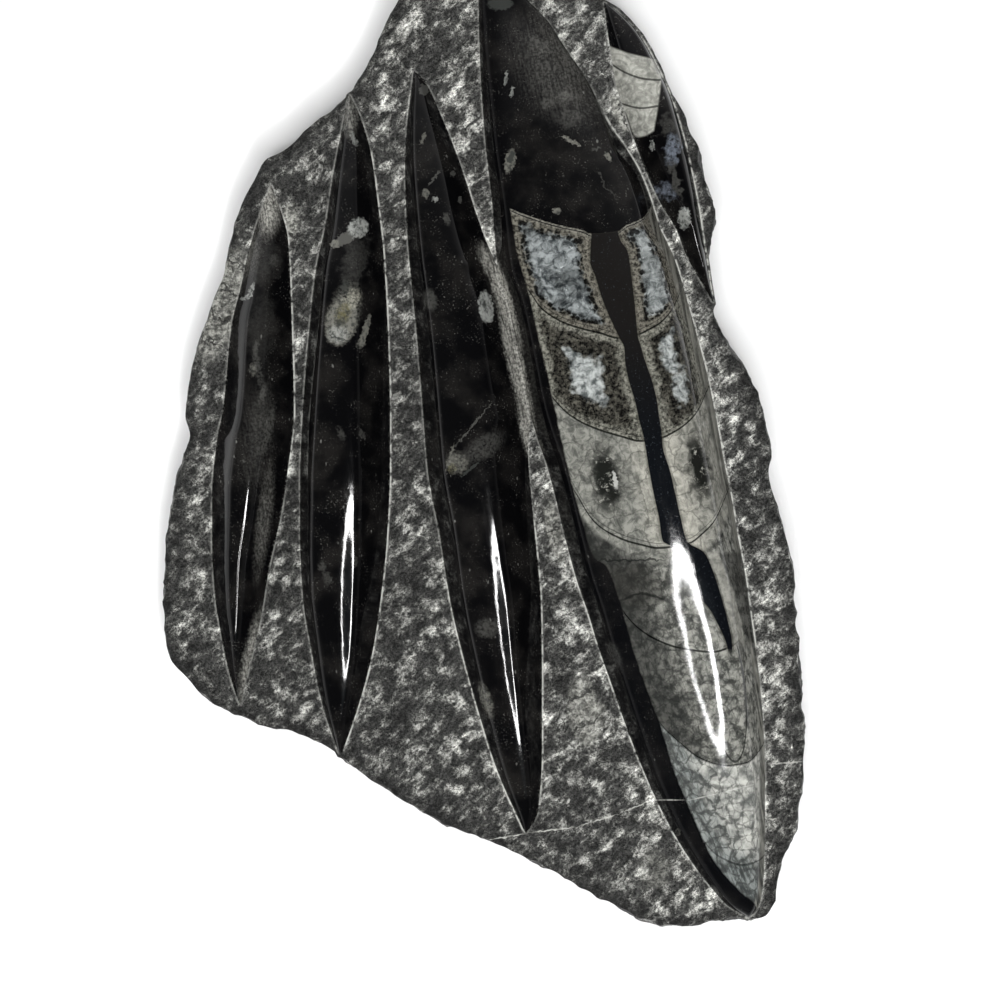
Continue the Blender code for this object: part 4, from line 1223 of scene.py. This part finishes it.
def sawn_back():
    """The flat back, with the arcs that the saw left."""
    s = Stone("sawn_limestone")
    arcs = s.noise(s.stretch(s.mm, (0.02, 1.3, 1.0), 0.25), 1.0, 3.0, 0.6)
    grit = s.noise(s.mm, 1.4, 3.0, 0.6)
    tone = arcs * 0.55 + grit * 0.45
    colour = s.mix(s.step(0.34, 0.66, tone), (44, 44, 43), (84, 84, 81))
    colour = s.mix(s.step(0.6, 0.75, s.noise(s.mm, 0.06, 4.0)) * 0.5, colour, (112, 110, 104))
    return s.finish(colour, 0.62, arcs * 0.25 + grit * 0.1, 0.8)


# ---------------------------------------------------------------- studio
def stage_sheet(name, corners):
    """A flat sheet of the studio, with a material of the same name."""
    mesh = bpy.data.meshes.new(name)
    mesh.from_pydata(corners, [], [tuple(range(len(corners)))])
    mesh.materials.append(bpy.data.materials.new(name))
    sheet = add_object(name, mesh)
    return sheet, Nodes(mesh.materials[0])


def floor():
    """A wide pale floor, a hair below the slab."""
    _, s = stage_sheet("floor", [(x, y, -0.0002) for x, y in ((-6, -6), (6, -6), (6, 6), (-6, 6))])
    shader = s.tree.nodes["Principled BSDF"]
    s.put(shader.inputs["Base Color"], (0.86, 0.86, 0.86, 1.0))
    s.put(shader.inputs["Roughness"], 0.9)


def sky():
    """Soft light: dim overhead, bright low down and most from the left, some behind the slab's narrow end."""
    world = bpy.data.worlds.new("studio")
    s = Nodes(world)
    s.tree.nodes.clear()
    towards = s.make("ShaderNodeSeparateXYZ", {0: s.make("ShaderNodeTexCoord", {}, "Generated")}).socket.node
    x, y, z = (Value(s, out) for out in towards.outputs)
    brightest = 1.9
    stops = [(0.0, 1.9), (0.28, 1.9), (0.42, 1.0), (0.56, 0.30), (0.75, 0.07), (1.0, 0.06)]
    upward = s.make("ShaderNodeValToRGB", {0: z})
    elements = upward.socket.node.color_ramp.elements
    while len(elements) < len(stops):
        elements.new(0.5)
    for element, (at, value) in zip(elements, stops):
        element.position = at
        element.color = (*[value / brightest] * 3, 1.0)
    sideways = s.step(-0.7, 0.5, x, 0.80, 0.12, smooth=False) * brightest
    low = s.make("ShaderNodeBackground", {"Color": upward, "Strength": sideways})
    back = s.make("ShaderNodeBackground", {"Strength": s.step(0.20, 0.75, y, 0.0, 1.25, smooth=False)})
    out = s.tree.nodes.new("ShaderNodeOutputWorld")
    s.put(out.inputs["Surface"], s.make("ShaderNodeAddShader", {0: low, 1: back}))
    bpy.context.scene.world = world


def glow(name, corners, strength, tint=(1.0, 1.0, 1.0)):
    """A flat glowing panel facing down, given by its corners in metres; the camera doesn't see it."""
    panel, s = stage_sheet(name, corners)
    panel.visible_camera = False
    s.tree.nodes.clear()
    out = s.tree.nodes.new("ShaderNodeOutputMaterial")
    s.put(out.inputs["Surface"], s.make("ShaderNodeEmission", {"Color": (*tint, 1.0), "Strength": strength}))


def lights():
    """A ring light overhead, towards the slab's wide end, its hole off centre, and a dim bluish panel behind it."""
    up = 1.02
    sides = 96
    begin, end = -179.9, 180.0       # the ring's two ends are a hair apart, so that it is one face
    angles = [math.radians(begin + (end - begin) * i / sides) for i in range(sides + 1)]
    outer, inner = (0.010, -0.290, 0.180, angles), (-0.015, -0.300, 0.132, angles[::-1])
    glow("ring_light", [(x + radius * math.cos(a), y + radius * math.sin(a), up)
                        for x, y, radius, turn in (outer, inner) for a in turn], 88.0)
    glow("panel", [(x, y, up + 0.01) for x, y in ((-0.10, -0.13), (0.42, -0.13), (0.42, -0.62), (-0.10, -0.62))],
         0.30, (0.80, 0.93, 1.0))


def camera():
    """Straight above the slab, a thousand drawing units across the picture."""
    data = bpy.data.cameras.new("camera")
    data.sensor_width = 36.0
    data.lens = 36.0 * CAMERA_UP / (2.0 * PICTURE * UNIT)
    data.clip_start = 0.01
    x, y = place(PICTURE, PICTURE)
    bpy.context.scene.camera = add_object("camera", data)
    bpy.context.scene.camera.location = (x * 0.001, y * 0.001, (GROUND + CAMERA_UP) * 0.001)


def main():
    slab = slab_object(build_slab(), [pecked(), broken_side(), sawn_back(), polished("first"), polished("second"),
                              polished("third", vein=VEINS[:2]), polished("fourth", big_shell, VEINS[3:7]),
                              polished("fifth", small_shell)])
    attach(slab, "root")
    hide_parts("fossil_slab")
    bpy.context.scene.view_settings.view_transform = "Standard"
    floor()
    sky()
    lights()
    camera()


main()
